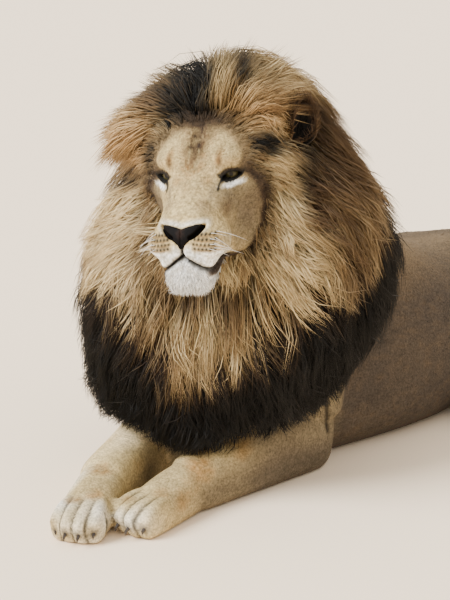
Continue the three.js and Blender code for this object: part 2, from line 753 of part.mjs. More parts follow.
// The mane as a form round an upright line: at each height a centre, a turn and the reach of the
// hair's tips to the sides, front and back.
class ManeForm {
  constructor(stations, hem, crown) {
    const curve = (pick) =>
      new THREE.CatmullRomCurve3(stations.map((s) => vec(pick(s))), false, "catmullrom", 0.5);
    const centre = curve((s) => s.at);
    const reach = curve((s) => [s.side, s.front, s.back]);
    const turn = curve((s) => [s.turn, 0, 0]);
    this.rows = Array.from({ length: 61 }, (_, i) => ({
      centre: centre.getPoint(i / 60),
      reach: reach.getPoint(i / 60),
      turn: radians(turn.getPoint(i / 60).x),
    }));
    Object.assign(this, { hem, crown });
  }

  section(height) {
    const { rows } = this;
    let i = 1;
    while (i < rows.length - 1 && rows[i].centre.z < height) i += 1;
    const [below, above] = [rows[i - 1], rows[i]];
    const share = (height - below.centre.z) / (above.centre.z - below.centre.z);
    const k = THREE.MathUtils.clamp(share, 0, 1);
    return {
      centre: below.centre.clone().lerp(above.centre, k),
      reach: below.reach.clone().lerp(above.reach, k),
      turn: mix(below.turn, above.turn, k),
    };
  }

  // How wide the form is at a height, from 1 to nothing over its rounded crown and hem.
  fullness(height) {
    const near = Math.min((this.crown - height) / DOME, (height - this.hem) / 60, 1);
    return Math.sqrt(Math.max(0, 1 - (1 - near) ** 2));
  }

  radius(height, bearing) {
    const { reach } = this.section(height);
    const [across, ahead] = [Math.cos(bearing), Math.sin(bearing)];
    return 1 / Math.hypot(across / reach.x, ahead / (ahead > 0 ? reach.y : reach.z));
  }

  // How deep the roots lie under the tips: less round the face, where the hair is shorter.
  rootDepth(height, bearing) {
    const face = smooth(Math.sin(bearing), 0.2, 0.9) * smooth(height, 560, 660);
    return MANE.rootDepth * (1 - 0.62 * face);
  }

  // A place at a height and a bearing (0 at the animal's left, a quarter turn at its front), at
  // some depth under the tips.
  spot(height, bearing, depth) {
    const { centre, turn } = this.section(height);
    const reach = Math.max(this.radius(height, bearing) * this.fullness(height) - depth, 0);
    return new THREE.Vector3(Math.cos(bearing), -Math.sin(bearing), 0)
      .multiplyScalar(reach)
      .applyAxisAngle(UP, turn)
      .add(new THREE.Vector3(centre.x, centre.y, height));
  }

  // How far outside the form a place is, in parts of the form's radius there.
  excess(place) {
    const { centre, turn } = this.section(place.z);
    const away = new THREE.Vector3(place.x - centre.x, place.y - centre.y, 0).applyAxisAngle(UP, -turn);
    const radius = this.radius(place.z, Math.atan2(-away.y, away.x));
    return Math.hypot(away.length() / radius, Math.max(0, 1 - (this.crown - place.z) / DOME)) - 1;
  }

  bearing(place) {
    const { centre, turn } = this.section(place.z);
    const away = new THREE.Vector3(place.x - centre.x, place.y - centre.y, 0).applyAxisAngle(UP, -turn);
    return Math.atan2(-away.y, away.x);
  }

  slope(place) {
    const here = this.excess(place);
    const step = 2;
    const along = (axis) => (this.excess(place.clone().addScaledVector(axis, step)) - here) / step;
    return new THREE.Vector3(along(RIGHT), along(BEHIND), along(UP));
  }

  // Moves a place along the form's normal until it lies at a depth under the tips.
  settle(place, depth) {
    const slope = this.slope(place);
    const steep = Math.max(slope.length(), 1e-4);
    const shift = THREE.MathUtils.clamp(-depth - this.excess(place) / steep, -60, 60);
    return place.addScaledVector(slope.divideScalar(steep), shift);
  }

  // The solid core under the locks.
  core(around, along) {
    const geometry = new THREE.SphereGeometry(1, around, along);
    const { position, uv } = geometry.attributes;
    const [low, high] = [this.hem + MANE.coreHem, this.crown - MANE.rootDepth];
    for (let i = 0; i < position.count; i += 1) {
      const share = (1 - Math.cos(Math.PI * uv.getY(i))) / 2;
      const near = Math.min(share / 0.08, (1 - share) / 0.05, 1);
      const close = Math.sqrt(Math.max(0, 1 - (1 - near) ** 2));
      const height = mix(low, high, share);
      const { centre } = this.section(height);
      const bearing = uv.getX(i) * 2 * Math.PI;
      const { x, y, z } = this.spot(height, bearing, this.rootDepth(height, bearing));
      position.setXYZ(i, mix(centre.x, x, close), mix(centre.y, y, close), z);
    }
    return geometry;
  }
}

const maneForm = new ManeForm(
  [
    { at: [0, -104, 60], side: 200, front: 214, back: 110, turn: 0 },
    { at: [0, -96, 130], side: 238, front: 240, back: 150, turn: 0 },
    { at: [0, -80, 210], side: 290, front: 268, back: 216, turn: 0 },
    { at: [12, -62, 300], side: 330, front: 304, back: 310, turn: 0 },
    { at: [26, -50, 400], side: 342, front: 318, back: 364, turn: 8 },
    { at: [45, -52, 500], side: 338, front: 312, back: 384, turn: 14 },
    { at: [82, -94, 600], side: 306, front: 206, back: 330, turn: 22 },
    { at: [98, -108, 700], side: 262, front: 168, back: 266, turn: 30 },
    { at: [94, -145, 800], side: 228, front: 136, back: 212, turn: 31 },
    { at: [94, -142, 870], side: 200, front: 126, back: 190, turn: 31 },
    { at: [98, -140, 940], side: 180, front: 110, back: 180, turn: 31 },
  ],
  MANE.hem,
  MANE.crown,
);

const headInverse = headMatrix.clone().invert();
const headAxis = (x, y, z) => new THREE.Vector3(x, y, z).transformDirection(headMatrix);
const FORWARD = headAxis(0, -1, 0);
const SIDEWAYS = headAxis(1, 0, 0);

// The way the hair lies at a place: away from the face, then down; over the crown it parts in the
// middle and falls to the sides and back.
function lie(place) {
  const local = place.clone().applyMatrix4(headInverse);
  const away = new THREE.Vector3(local.x, 0, local.z + 20).normalize().transformDirection(headMatrix);
  const crown = smooth(local.z, 30, 110);
  const near = 1 - smooth(local.y, 60, 320);
  const fall = new THREE.Vector3(0, 0, -1).addScaledVector(away, 0.1 + 0.4 * near);
  fall.addScaledVector(FORWARD, -0.12 - 0.2 * near);
  const part = new THREE.Vector3().addScaledVector(away, 0.35);
  part.addScaledVector(SIDEWAYS, THREE.MathUtils.clamp(local.x / 45, -0.9, 0.9));
  part.addScaledVector(FORWARD, -0.45);
  return fall.lerp(part, crown).normalize();
}

// One flat tapered lock: it starts deep in the core, follows the lie and comes out to the tips.
function lock(place, random) {
  const { steps, length } = LOCK;
  const width = LOCK.width * mix(0.85, 1.15, random());
  const ahead = smooth(Math.sin(maneForm.bearing(place)), 0.8, 0.98);
  const room = place.z - mix(MANE.reach[1], MANE.reach[0], ahead);
  const reach = Math.min(length * mix(0.82, 1.15, random()), room);
  const tip = mix(LOCK.tipIn, LOCK.tipOut, random());
  const lean = mix(-0.22, 0.22, random());
  const root = maneForm.rootDepth(place.z, maneForm.bearing(place)) + LOCK.sunk;
  const points = [];
  const point = place.clone();
  let top = UP;
  for (let i = 0; i <= steps; i += 1) {
    const share = i / steps;
    const rise = 1 - (1 - share) ** 1.6;
    if (point.z > MANE.reach[0]) maneForm.settle(point, mix(root, tip, rise));
    const out = maneForm.slope(point).normalize();
    if (i === 2) top = out.clone();
    points.push(point.clone());
    const way = lie(point);
    way.addScaledVector(out, -way.dot(out)).normalize();
    point.addScaledVector(way, reach / steps);
  }
  const along = points[steps].clone().sub(points[0]).normalize();
  return blade(points, width, LOCK.thick, top.applyAxisAngle(along, lean));
}

// The locks that rise from the parting over the forehead and fan out to one side, over the ear.
function fringe(side, { reach: width, rise, hang }, random) {
  return Array.from({ length: FRINGE.count }, (_, i) => {
    const share = i / (FRINGE.count - 1);
    const angle = radians(mix(FRINGE.from, FRINGE.to, share));
    const root = [mix(8, 112, share), mix(84, 106, share), mix(88, 58, share)];
    const reach = mix(0.92, 1.06, random());
    const across = 22 + width * Math.sin(angle) * reach;
    const level = 62 + rise * Math.cos(angle) * reach - hang * smooth(share, 0.3, 1);
    const tip = [across, mix(164, 66, share), level];
    const bend = [mix(root[0], tip[0], 0.4), mix(66, 40, share), mix(root[2], tip[2], 0.55) + 26];
    const points = bent(...[root, bend, tip].map((at) => mirrored(side, at)));
    const top = new THREE.Vector3(side * Math.sin(angle) * 0.3, -1, 0.2);
    return placed(blade(points, FRINGE.width, LOCK.thick, top), headMatrix);
  });
}

// The roots of the mane's locks: tiers down the form, each staggered against the last.
function lockRoots(random) {
  const roots = [];
  MANE.tiers.forEach((height, tier) => {
    const { reach } = maneForm.section(height);
    const around = Math.PI * (reach.x + (reach.y + reach.z) / 2) * maneForm.fullness(height);
    const count = Math.round(around / mix(MANE.spacing * 0.8, MANE.spacing, smooth(height, 300, 400)));
    for (let i = 0; i < count; i += 1) {
      const bearing = ((i + (tier % 2) / 2 + (random() - 0.5) * 0.5) / count) * 2 * Math.PI;
      const level = height + (random() - 0.5) * 30;
      const place = maneForm.spot(level, bearing, maneForm.rootDepth(level, bearing) + LOCK.sunk);
      const local = place.clone().applyMatrix4(headInverse);
      const onFace = local.y < (local.z > 20 ? 70 : 30) && local.z > -190;
      const overEar = local.x > 50 && local.y < 165 && local.z > 0 && local.z < 140;
      if (!onFace && !overEar) roots.push(place);
    }
  });
  return roots;
}

const random = stream(11);
const maneLocks = lockRoots(random).map((root) => lock(root, random));
const forelock = [...fringe(1, FRINGE.left, random), ...fringe(-1, FRINGE.right, random)];

// A block that fills one side of an upright or level plane through a point.
function half(point, turn, tilt) {
  const block = new THREE.BoxGeometry(4000, 4000, 4000).translate(0, 0, 2000);
  const place = new THREE.Matrix4().makeRotationFromEuler(new THREE.Euler(0, tilt, turn, "ZYX"));
  return toSolid(placed(block, place.setPosition(...point)));
}

const partingLeft = [PARTING.at[0] + MIDLINE_GAP, ...PARTING.at.slice(1)];
const leftSide = half(partingLeft, radians(PARTING.turn), Math.PI / 2);
const rightSide = half(PARTING.at, radians(PARTING.turn), -Math.PI / 2);
const aboveCrest = half([0, 0, MANE.crest], 0, 0);
const belowCrest = half([0, 0, MANE.crest - MIDLINE_GAP], 0, Math.PI);

// The hollow over the back of the skull, plain and a little wider than the skull.
const nape = placed(ball(1, 12, 8).scale(138, 98, 118).translate(0, 178, -4), headMatrix);
const bodyParts = [grown(neckShape), torsoCutter, ...legCutters];
const maneCutters = [toSolid(nape), ...headCutters, ...bodyParts, floorBlock];
const maneSolids = [maneForm.core(18, 12), ...maneLocks, ...forelock].map(toSolid);
const maneWhole = cut(join(maneSolids), maneCutters);
addNode("mane_crest", maneWhole.intersect(aboveCrest), COLOURS.gold);
const maneRest = maneWhole.intersect(belowCrest);
addNode("mane_left", maneRest.intersect(leftSide), COLOURS.gold);
addNode("mane_right", maneRest.intersect(rightSide), COLOURS.gold);

export default lion;
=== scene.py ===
"""A life-size adult male lion at rest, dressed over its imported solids.

The animal lies on its chest with its forepaws together and its head turned to its left. Sizes are
worked out in millimetres and turned to metres as each mesh is made.
"""

import logging
import math
from dataclasses import dataclass, field, replace
from enum import Enum
from functools import cache
from typing import Callable, Sequence

import bmesh
import bpy
import numpy as np
from mathutils import Matrix, Vector


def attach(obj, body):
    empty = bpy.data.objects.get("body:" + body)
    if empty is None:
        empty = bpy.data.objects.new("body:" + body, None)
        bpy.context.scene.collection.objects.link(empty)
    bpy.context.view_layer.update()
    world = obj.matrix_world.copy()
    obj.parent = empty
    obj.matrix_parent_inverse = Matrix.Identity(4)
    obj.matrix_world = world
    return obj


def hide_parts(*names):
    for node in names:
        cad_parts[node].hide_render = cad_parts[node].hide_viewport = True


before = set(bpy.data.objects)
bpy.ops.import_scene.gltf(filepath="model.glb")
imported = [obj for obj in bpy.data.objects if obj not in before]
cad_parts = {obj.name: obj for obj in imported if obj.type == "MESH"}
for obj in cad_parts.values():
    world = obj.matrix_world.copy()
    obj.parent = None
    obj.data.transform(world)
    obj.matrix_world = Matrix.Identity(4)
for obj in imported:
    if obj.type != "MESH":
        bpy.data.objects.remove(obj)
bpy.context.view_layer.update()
LOG = logging.getLogger("lion")
MM = 0.001
UP = np.array([0.0, 0.0, 1.0])
Array = np.ndarray
Rng = np.random.Generator
Mesh = bpy.types.Mesh
Shape = bmesh.types.BMesh


# ---- numbers and curves


def smooth(value: Array, low: float, high: float) -> Array:
    """Eases from 0 at low to 1 at high."""
    share = np.clip((np.asarray(value, float) - low) / (high - low), 0.0, 1.0)
    return share * share * (3.0 - 2.0 * share)


def mix(first: Array, last: Array, share: Array) -> Array:
    """Goes from first to last as share goes from 0 to 1."""
    return first + (last - first) * share


def bell(value: Array, width: float) -> Array:
    """A soft peak, 1 where value is 0."""
    return np.exp(-((value / width) ** 2))


def rounded(share: Array) -> Array:
    """Rises from 0 to 1 as a quarter circle does, as share goes from 0 to 1."""
    return np.sqrt(np.maximum(0.0, 1 - (1 - share) ** 2))


def read_off(table: Sequence[Sequence[float]], at: Array) -> Array:
    """The second column of a table at values of its first."""
    return np.interp(at, [row[0] for row in table], [row[1] for row in table])


def rows_of(*columns: Array) -> Array:
    """Rows made of several columns of numbers."""
    return np.stack(columns, axis=1)


def unit(vectors: Array) -> Array:
    """Vectors scaled to length 1."""
    return vectors / np.maximum(np.linalg.norm(vectors, axis=-1, keepdims=True), 1e-9)


def dots(first: Array, last: Array) -> Array:
    """Dot products along the last axis, kept as a column."""
    return np.sum(first * last, axis=-1, keepdims=True)


def apart(points: Array, place: Sequence[float]) -> Array:
    """The distance of each point from one place."""
    return np.linalg.norm(points - np.array(place), axis=1)


def spline(points: Sequence[Sequence[float]], share: Array) -> Array:
    """A Catmull-Rom curve through points.

    Args:
        points: the values it passes through, evenly spaced in share.
        share: places along it, from 0 to 1.

    Returns:
        One row for each share.
    """
    knots = np.asarray(points, float)
    place = np.clip(np.asarray(share, float), 0.0, 1.0) * (len(knots) - 1)
    low = np.minimum(place.astype(int), len(knots) - 2)
    part = (place - low)[..., None]
    ext = np.vstack([2 * knots[0] - knots[1], knots, 2 * knots[-1] - knots[-2]])
    before, here, after, beyond = ext[low], ext[low + 1], ext[low + 2], ext[low + 3]
    leave, arrive = 0.5 * (after - before), 0.5 * (beyond - here)
    square = -3 * here + 3 * after - 2 * leave - arrive
    cube = 2 * here - 2 * after + leave + arrive
    return here + leave * part + square * part**2 + cube * part**3


def pressed(vectors: Array, out: Array) -> Array:
    """Vectors pressed flat against surfaces with normals out, at length 1."""
    return unit(vectors - out * dots(vectors, out))


def strewn(out: Array, rng: Rng) -> Array:
    """One step for each normal to a random place on the round patch square to it, of radius 1."""
    return pressed(rng.normal(0, 1, out.shape), out) * rng.random((len(out), 1)) ** 0.5


def turned(vectors: Array, axes: Array, angles: Array) -> Array:
    """Vectors turned about unit axes by angles in radians."""
    cosine, sine = np.cos(angles)[:, None], np.sin(angles)[:, None]
    return vectors * cosine + np.cross(axes, vectors) * sine + axes * dots(axes, vectors) * (1 - cosine)


def grain(places: Array, size: float, seed: int = 0) -> Array:
    """Soft lumpy noise from -1 to 1.

    Args:
        places: points in millimetres.
        size: the size of its lumps in millimetres.
        seed: picks another pattern.

    Returns:
        One number for each point.
    """
    at = places / size + seed * 17.31
    cell = np.floor(at).astype(np.int64)
    part = at - cell
    part = part * part * (3 - 2 * part)
    total = np.zeros(len(at))
    for corner in range(8):
        step = np.array([corner & 1, (corner >> 1) & 1, (corner >> 2) & 1])
        key = (cell + step) @ np.array([73856093, 19349663, 83492791]) + seed * 1013
        key = (key ^ (key >> 13)) * 1274126177
        value = ((key ^ (key >> 16)) & 0xFFFF) / 32767.5 - 1.0
        total += value * np.prod(np.where(step == 1, part, 1 - part), axis=1)
    return total


# ---- colours and finishes


def linear(code: str) -> Array:
    """The linear colour of an sRGB hex value such as "C9B08A"."""
    values = np.array([int(code[i : i + 2], 16) / 255 for i in (0, 2, 4)])
    return np.where(values <= 0.04045, values / 12.92, ((values + 0.055) / 1.055) ** 2.4)


class Tone(Enum):
    """The colours of the coat, as sRGB hex values."""

    SAND = "A08C64"
    CREAM = "B8A474"
    WHITE = "E4E5E2"
    TAN = "8A7352"
    RUST = "8C5C2C"
    SMOKE = "5E5443"
    # The flank's grey-brown, darkened as painted shade for the side turned from the light.
    FLANK = "453D35"
    BROWN = "4C3A28"
    UMBER = "271D16"
    BLACK = "11100E"
    GOLD = "A58F66"
    STRAW = "DCC79C"
    AMBER = "806138"
    LEATHER = "070505"
    PINK = "33231C"
    IRIS = "3F3A22"

    @property
    def colour(self) -> Array:
        """The tone as a linear colour."""
        return linear(self.value)


class Paint:
    """Colours of many points, built up in soft layers."""

    def __init__(self, count: int, base: Tone) -> None:
        """Starts every point at one tone."""
        self.values = np.tile(base.colour, (count, 1))

    def lay(self, tone: Tone, weight: Array) -> "Paint":
        """Blends a tone over it by eye, so that dark hairs over pale ones read as dark."""
        share = np.clip(np.broadcast_to(weight, len(self.values)), 0, 1)[:, None]
        self.values = mix(np.sqrt(self.values), np.sqrt(tone.colour), share) ** 2
        return self

    def shade(self, factor: Array) -> "Paint":
        """Makes each point lighter or darker."""
        self.values = np.clip(self.values * factor[:, None], 0.0, 1.0)
        return self


def add_node(tree: bpy.types.NodeTree, kind: str, settings: dict = {}, links: dict = {}) -> bpy.types.Node:
    """Adds one node to a material.

    Args:
        tree: the material's node tree.
        kind: the node's type name, after "ShaderNode".
        settings: values by socket name, or by property name.
        links: output sockets by the name of the input that they feed.

    Returns:
        The new node.
    """
    node = tree.nodes.new("ShaderNode" + kind)
    for name, value in settings.items():
        if name in node.inputs:
            node.inputs[name].default_value = value
        else:
            setattr(node, name, value)
    for name, output in links.items():
        tree.links.new(output, node.inputs[name])
    return node


@dataclass(frozen=True)
class Finish:
    """A finish whose colour is painted on the mesh, broken up by a fine pattern.

    Attributes:
        name: the material's name.
        roughness: how matt it is.
        specular: its specular level.
        coat: the weight of a wet layer over it.
        pattern: the size of its fine pattern in millimetres.
        contrast: how far the pattern lightens and darkens it.
        relief: the height of the pattern in millimetres.
        plain: one sRGB hex value in place of the painted colour.
    """

    name: str
    roughness: float
    specular: float = 0.3
    coat: float = 0.0
    pattern: float = 3.0
    contrast: float = 0.2
    relief: float = 0.0
    plain: str = ""

    @cache
    def material(self) -> bpy.types.Material:
        """Makes the material, once for every piece that has it."""
        made = bpy.data.materials.new(self.name)
        made.use_nodes = True
        tree = made.node_tree
        tree.nodes.clear()
        if self.plain:
            paint = add_node(tree, "RGB")
            paint.outputs["Color"].default_value = (*linear(self.plain), 1)
        else:
            paint = add_node(tree, "Attribute", {"attribute_name": "Paint"})
        place = add_node(tree, "TexCoord").outputs["Object"]
        lumps = {"Scale": 1.0 / (self.pattern * MM), "Detail": 3.0, "Roughness": 0.6}
        noise = add_node(tree, "TexNoise", lumps, {"Vector": place}).outputs["Fac"]
        least, most = 1 - self.contrast, 1 + self.contrast
        span = {"From Min": 0.25, "From Max": 0.75, "To Min": least, "To Max": most}
        level = add_node(tree, "MapRange", span, {"Value": noise}).outputs["Result"]
        colour = {"Vector": paint.outputs["Color"], "Scale": level}
        tint = add_node(tree, "VectorMath", {"operation": "SCALE"}, colour)
        surface = {
            "Roughness": self.roughness,
            "Specular IOR Level": self.specular,
            "Coat Weight": self.coat,
            "Coat Roughness": 0.12,
        }
        shader = add_node(tree, "BsdfPrincipled", surface, {"Base Color": tint.outputs["Vector"]})
        if self.relief:
            height = {"Strength": 1.0, "Distance": self.relief * MM}
            bump = add_node(tree, "Bump", height, {"Height": noise})
            tree.links.new(bump.outputs["Normal"], shader.inputs["Normal"])
        add_node(tree, "OutputMaterial", {}, {"Surface": shader.outputs["BSDF"]})
        return made


# Short, dense guard hair over skin: matt, with a fine broken grain.
SHORT_FUR = Finish("short_lion_fur", 0.78, 0.14, pattern=4.6, contrast=0.5, relief=1.2)
# The tips of the same hair, standing clear as fine points.
GUARD_HAIR = Finish("guard_hair", 0.72, 0.16, pattern=4.6, contrast=0.36)
# Long coarse mane hair: smoother, so that it takes a dull shine along the strands.
MANE_HAIR = Finish("mane_hair", 0.62, 0.2, pattern=12.0, contrast=0.2)
# Bare nose leather: finely pebbled and a little moist.
NOSE_LEATHER = Finish("moist_nose_leather", 0.62, 0.08, pattern=1.6, contrast=0.3, relief=0.5)
# Wet living eye: smooth, with a clear layer over the iris.
WET_EYE = Finish("wet_eye", 0.16, 0.16, coat=0.04, pattern=0.9, contrast=0.1)
# Horn of the claws: dark, smooth and slightly glossy.
CLAW_HORN = Finish("claw_horn", 0.34, 0.5, pattern=4.0, contrast=0.4, plain="2E2620")


# ---- meshes


def ball(cuts: int, finer: Callable[[Array], Array] | None = None) -> Shape:
    """A round ball of even squares, finer in one zone.

    Args:
        cuts: the cuts along each side of the cube that it starts as.
        finer: says for many directions which lie in the finer zone.

    Returns:
        The ball, with radius 1.
    """
    shape = bmesh.new()
    bmesh.ops.create_cube(shape, size=2.0)
    bmesh.ops.subdivide_edges(shape, edges=shape.edges[:], cuts=cuts, use_grid_fill=True)
    for vert in shape.verts:
        vert.co = Vector([math.tan(value * math.pi / 4) for value in vert.co]).normalized()
    if finer is not None:
        shape.verts.index_update()
        inside = finer(np.array([vert.co[:] for vert in shape.verts]))
        edges = [edge for edge in shape.edges if inside[edge.verts[0].index] and inside[edge.verts[1].index]]
        bmesh.ops.subdivide_edges(shape, edges=edges, cuts=1, use_grid_fill=True)
        for vert in shape.verts:
            vert.co.normalize()
    return shape


@dataclass(frozen=True)
class Loft:
    """A closed tube through stations, in millimetres.

    Attributes:
        stations: rows of x, y, z, then the reach to the side, up and down.
        top: the direction that up leans towards.
        box: squares the upper half where it is under 1.
        sole: the same for the lower half, or nothing to match the upper.
        ends: the shares of the length over which each end rounds off.
        bias: over 1 it crowds the mesh towards the start.
    """

    stations: tuple[tuple[float, ...], ...]
    top: tuple[float, float, float] = (0.0, 0.0, 1.0)
    box: float = 1.0
    sole: float | None = None
    ends: tuple[float, float] = (0.12, 0.12)
    bias: float = 1.0

    def centre(self, share: Array) -> Array:
        """Points on the centre line."""
        return spline([row[:3] for row in self.stations], share)

    def reach(self, share: Array) -> Array:
        """The reach to the side, up and down at shares of the length."""
        return spline([row[3:] for row in self.stations], share)

    def tangent(self, share: Array) -> Array:
        """Unit directions along the centre line."""
        low, high = np.clip(share - 1e-4, 0, 1), np.clip(share + 1e-4, 0, 1)
        return unit(self.centre(high) - self.centre(low))

    def surface(self, share: Array, angle: Array) -> Array:
        """Points on the surface.

        Args:
            share: shares of the length, from 0 to 1.
            angle: angles round the centre line, 0 on its left and a quarter turn at its top.

        Returns:
            One point for each pair.
        """
        along = self.tangent(share)
        side = unit(np.cross(along, np.asarray(self.top, float)))
        lift = np.cross(side, along)
        reach = np.maximum(self.reach(share), 0.0)
        sine, cosine = np.sin(angle), np.cos(angle)
        square = np.where(sine < 0, self.box if self.sole is None else self.sole, self.box)
        across = np.sign(cosine) * np.abs(cosine) ** square
        rise = np.sign(sine) * np.abs(sine) ** square
        full = rounded(np.minimum(np.minimum(share / self.ends[0], (1 - share) / self.ends[1]), 1.0))
        height = np.where(rise > 0, reach[:, 1], reach[:, 2])
        return (
            self.centre(share)
            + side * (across * reach[:, 0] * full)[:, None]
            + lift * (rise * height * full)[:, None]
        )

    def wrap(self, ways: Array) -> Array:
        """Points on the surface for unit directions, whose +Z is the start of the tube."""
        share = ((1 - np.clip(ways[:, 2], -1, 1)) / 2) ** self.bias
        return self.surface(share, np.arctan2(ways[:, 1], ways[:, 0]))


@dataclass(frozen=True)
class Bump:
    """Pushes a surface round one place, fading to nothing at its reach, in millimetres."""

    at: tuple[float, float, float]
    reach: tuple[float, float, float]
    push: tuple[float, float, float]

    def pair(self) -> tuple["Bump", "Bump"]:
        """This bump and the same one on the other side."""
        (x, y, z), (across, ahead, lift) = self.at, self.push
        return self, Bump((-x, y, z), self.reach, (-across, ahead, lift))


def sculpt(points: Array, bumps: Sequence[Bump]) -> Array:
    """Points moved by bumps that all read the unmoved places."""
    shift = np.zeros_like(points)
    for bump in bumps:
        away = np.linalg.norm((points - np.array(bump.at)) / np.array(bump.reach), axis=1)
        shift += np.array(bump.push) * (np.clip(1 - away**2, 0, 1) ** 2)[:, None]
    return points + shift


def vertices(mesh: Mesh, kind: str = "co") -> Array:
    """A mesh's vertex places or normals, as rows."""
    values = np.empty(len(mesh.vertices) * 3, np.float32)
    mesh.vertices.foreach_get(kind, values)
    return values.reshape(-1, 3).astype(float)


def set_vertices(mesh: Mesh, points: Array) -> None:
    """Moves a mesh's vertices."""
    mesh.vertices.foreach_set("co", points.astype(np.float32).ravel())
    mesh.update()


def triangles(mesh: Mesh) -> Array:
    """A mesh's triangles as rows of vertex indices."""
    mesh.calc_loop_triangles()
    values = np.empty(len(mesh.loop_triangles) * 3, np.int32)
    mesh.loop_triangles.foreach_get("vertices", values)
    return values.reshape(-1, 3)


def placed(name: str, data: bpy.types.ID) -> bpy.types.Object:
    """A new object in the scene."""
    thing = bpy.data.objects.new(name, data)
    bpy.context.scene.collection.objects.link(thing)
    return thing


def paint_mesh(mesh: Mesh, colours: Array) -> None:
    """Stores a colour for each vertex under the name that the finishes read."""
    layer = mesh.color_attributes.new("Paint", "FLOAT_COLOR", "POINT")
    full = np.ones((len(colours), 4), np.float32)
    full[:, :3] = colours
    layer.data.foreach_set("color", full.ravel())


class Piece:
    """A finished mesh on its way into the scene."""

    def __init__(self, name: str, mesh: Mesh, finish: Finish, slot: str) -> None:
        """Makes the object, shades it smooth and lets it ride on the body."""
        mesh.name = name
        mesh.materials.clear()
        mesh.materials.append(finish.material())
        mesh.polygons.foreach_set("use_smooth", np.ones(len(mesh.polygons), bool))
        mesh.update()
        self.thing = placed(name, mesh)
        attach(self.thing, "root")
        sides = sum(len(face.vertices) - 2 for face in mesh.polygons)
        LOG.info("%s: %d triangles", name, sides)

    def stands_for(self, *nodes: str) -> "Piece":
        """Hides the solids that this piece takes the place of."""
        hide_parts(*nodes)
        return self


def finished(shape: Shape, name: str) -> Mesh:
    """A mesh made from a working shape, with its faces turned outwards."""
    bmesh.ops.recalc_face_normals(shape, faces=shape.faces[:])
    mesh = bpy.data.meshes.new(name)
    shape.to_mesh(mesh)
    shape.free()
    return mesh


# ---- tufts


def corners_among(items: Sequence[object]) -> list[bmesh.types.BMVert]:
    """The vertices among what a mesh operator gives back."""
    return [item for item in items if isinstance(item, bmesh.types.BMVert)]


class Tuft:
    """One three-sided tuft, repeated and bent along many paths as a single mesh."""

    def __init__(self, rings: int) -> None:
        """Shapes the tuft: some rings of three corners, then a point."""
        self.rings = rings
        shape = bmesh.new()
        base = bmesh.ops.create_circle(shape, cap_ends=True, segments=3, radius=1.0)
        edge = [item for vert in base["verts"] for item in vert.link_edges]
        for _ in range(rings - 1):
            grown = bmesh.ops.extrude_edge_only(shape, edges=list(dict.fromkeys(edge)))["geom"]
            bmesh.ops.translate(shape, verts=corners_among(grown), vec=(0, 0, 1))
            edge = [item for item in grown if isinstance(item, bmesh.types.BMEdge) and item.is_boundary]
        tip = bmesh.ops.extrude_edge_only(shape, edges=list(dict.fromkeys(edge)))["geom"]
        bmesh.ops.pointmerge(shape, verts=corners_among(tip), merge_co=(0, 0, rings))
        bmesh.ops.recalc_face_normals(shape, faces=shape.faces[:])
        shape.verts.index_update()
        self.corners = np.array([vert.co[:] for vert in shape.verts])
        faces = [[vert.index for vert in face.verts] for face in shape.faces]
        self.sizes = np.array([len(face) for face in faces])
        self.sides = int(np.sum(self.sizes - 2))
        self.loops = np.concatenate([np.array(face) for face in faces])
        shape.free()

    def sweep(self, paths: Array, out: Array, widths: Array, taper: Sequence[float], flat: float) -> Array:
        """The corners of every tuft.

        Args:
            paths: for each tuft its path, as rings + 1 points.
            out: for each tuft, the direction that its ridge faces.
            widths: for each tuft, half its greatest width.
            taper: the share of the width at each ring and the point.
            flat: the height of its ridge as a share of its width.

        Returns:
            Corners by tuft.
        """
        along = unit(np.gradient(paths, axis=1))
        across = unit(np.cross(along, out[:, None, :]))
        ridge = np.cross(across, along)
        level = np.rint(self.corners[:, 2]).astype(int)
        half = widths[:, None] * np.asarray(taper)[level]
        aside = across[:, level] * (half * self.corners[:, 0])[:, :, None]
        rise = ridge[:, level] * (half * self.corners[:, 1] * flat)[:, :, None]
        return paths[:, level] + aside + rise

    def mesh(self, name: str, corners: Array, shades: Array, spots: Array) -> Mesh:
        """Joins the tufts into one mesh.

        Args:
            name: the mesh's name.
            corners: corners by tuft, in millimetres.
            shades: colours by tuft, evenly spaced from its root to its tip.
            spots: each tuft's place on the unwrap of what it grows on.

        Returns:
            The mesh, with its colours and its OFBake map.
        """
        count, each = corners.shape[:2]
        level = self.corners[:, 2] / self.rings
        made = bpy.data.meshes.new(name)
        made.vertices.add(count * each)
        made.vertices.foreach_set("co", (corners * MM).astype(np.float32).ravel())
        loops = (self.loops[None, :] + (np.arange(count) * each)[:, None]).ravel()
        sizes = np.tile(self.sizes, count)
        made.loops.add(len(loops))
        made.loops.foreach_set("vertex_index", loops.astype(np.int32))
        made.polygons.add(len(sizes))
        starts = np.concatenate([[0], np.cumsum(sizes)[:-1]])
        made.polygons.foreach_set("loop_start", starts.astype(np.int32))
        made.update(calc_edges=True)
        place = level * (shades.shape[1] - 1)
        low = np.minimum(place.astype(int), shades.shape[1] - 2)
        colours = mix(shades[:, low], shades[:, low + 1], (place - low)[None, :, None])
        paint_mesh(made, colours.reshape(-1, 3))
        patch = rows_of(self.corners[:, 0] * 0.0013, (level - 0.5) * 0.003)
        chart = (spots[:, None] + patch[None]).reshape(-1, 2)[loops]
        layer = made.uv_layers.new(name="OFBake")
        layer.data.foreach_set("uv", chart.astype(np.float32).ravel())
        return made


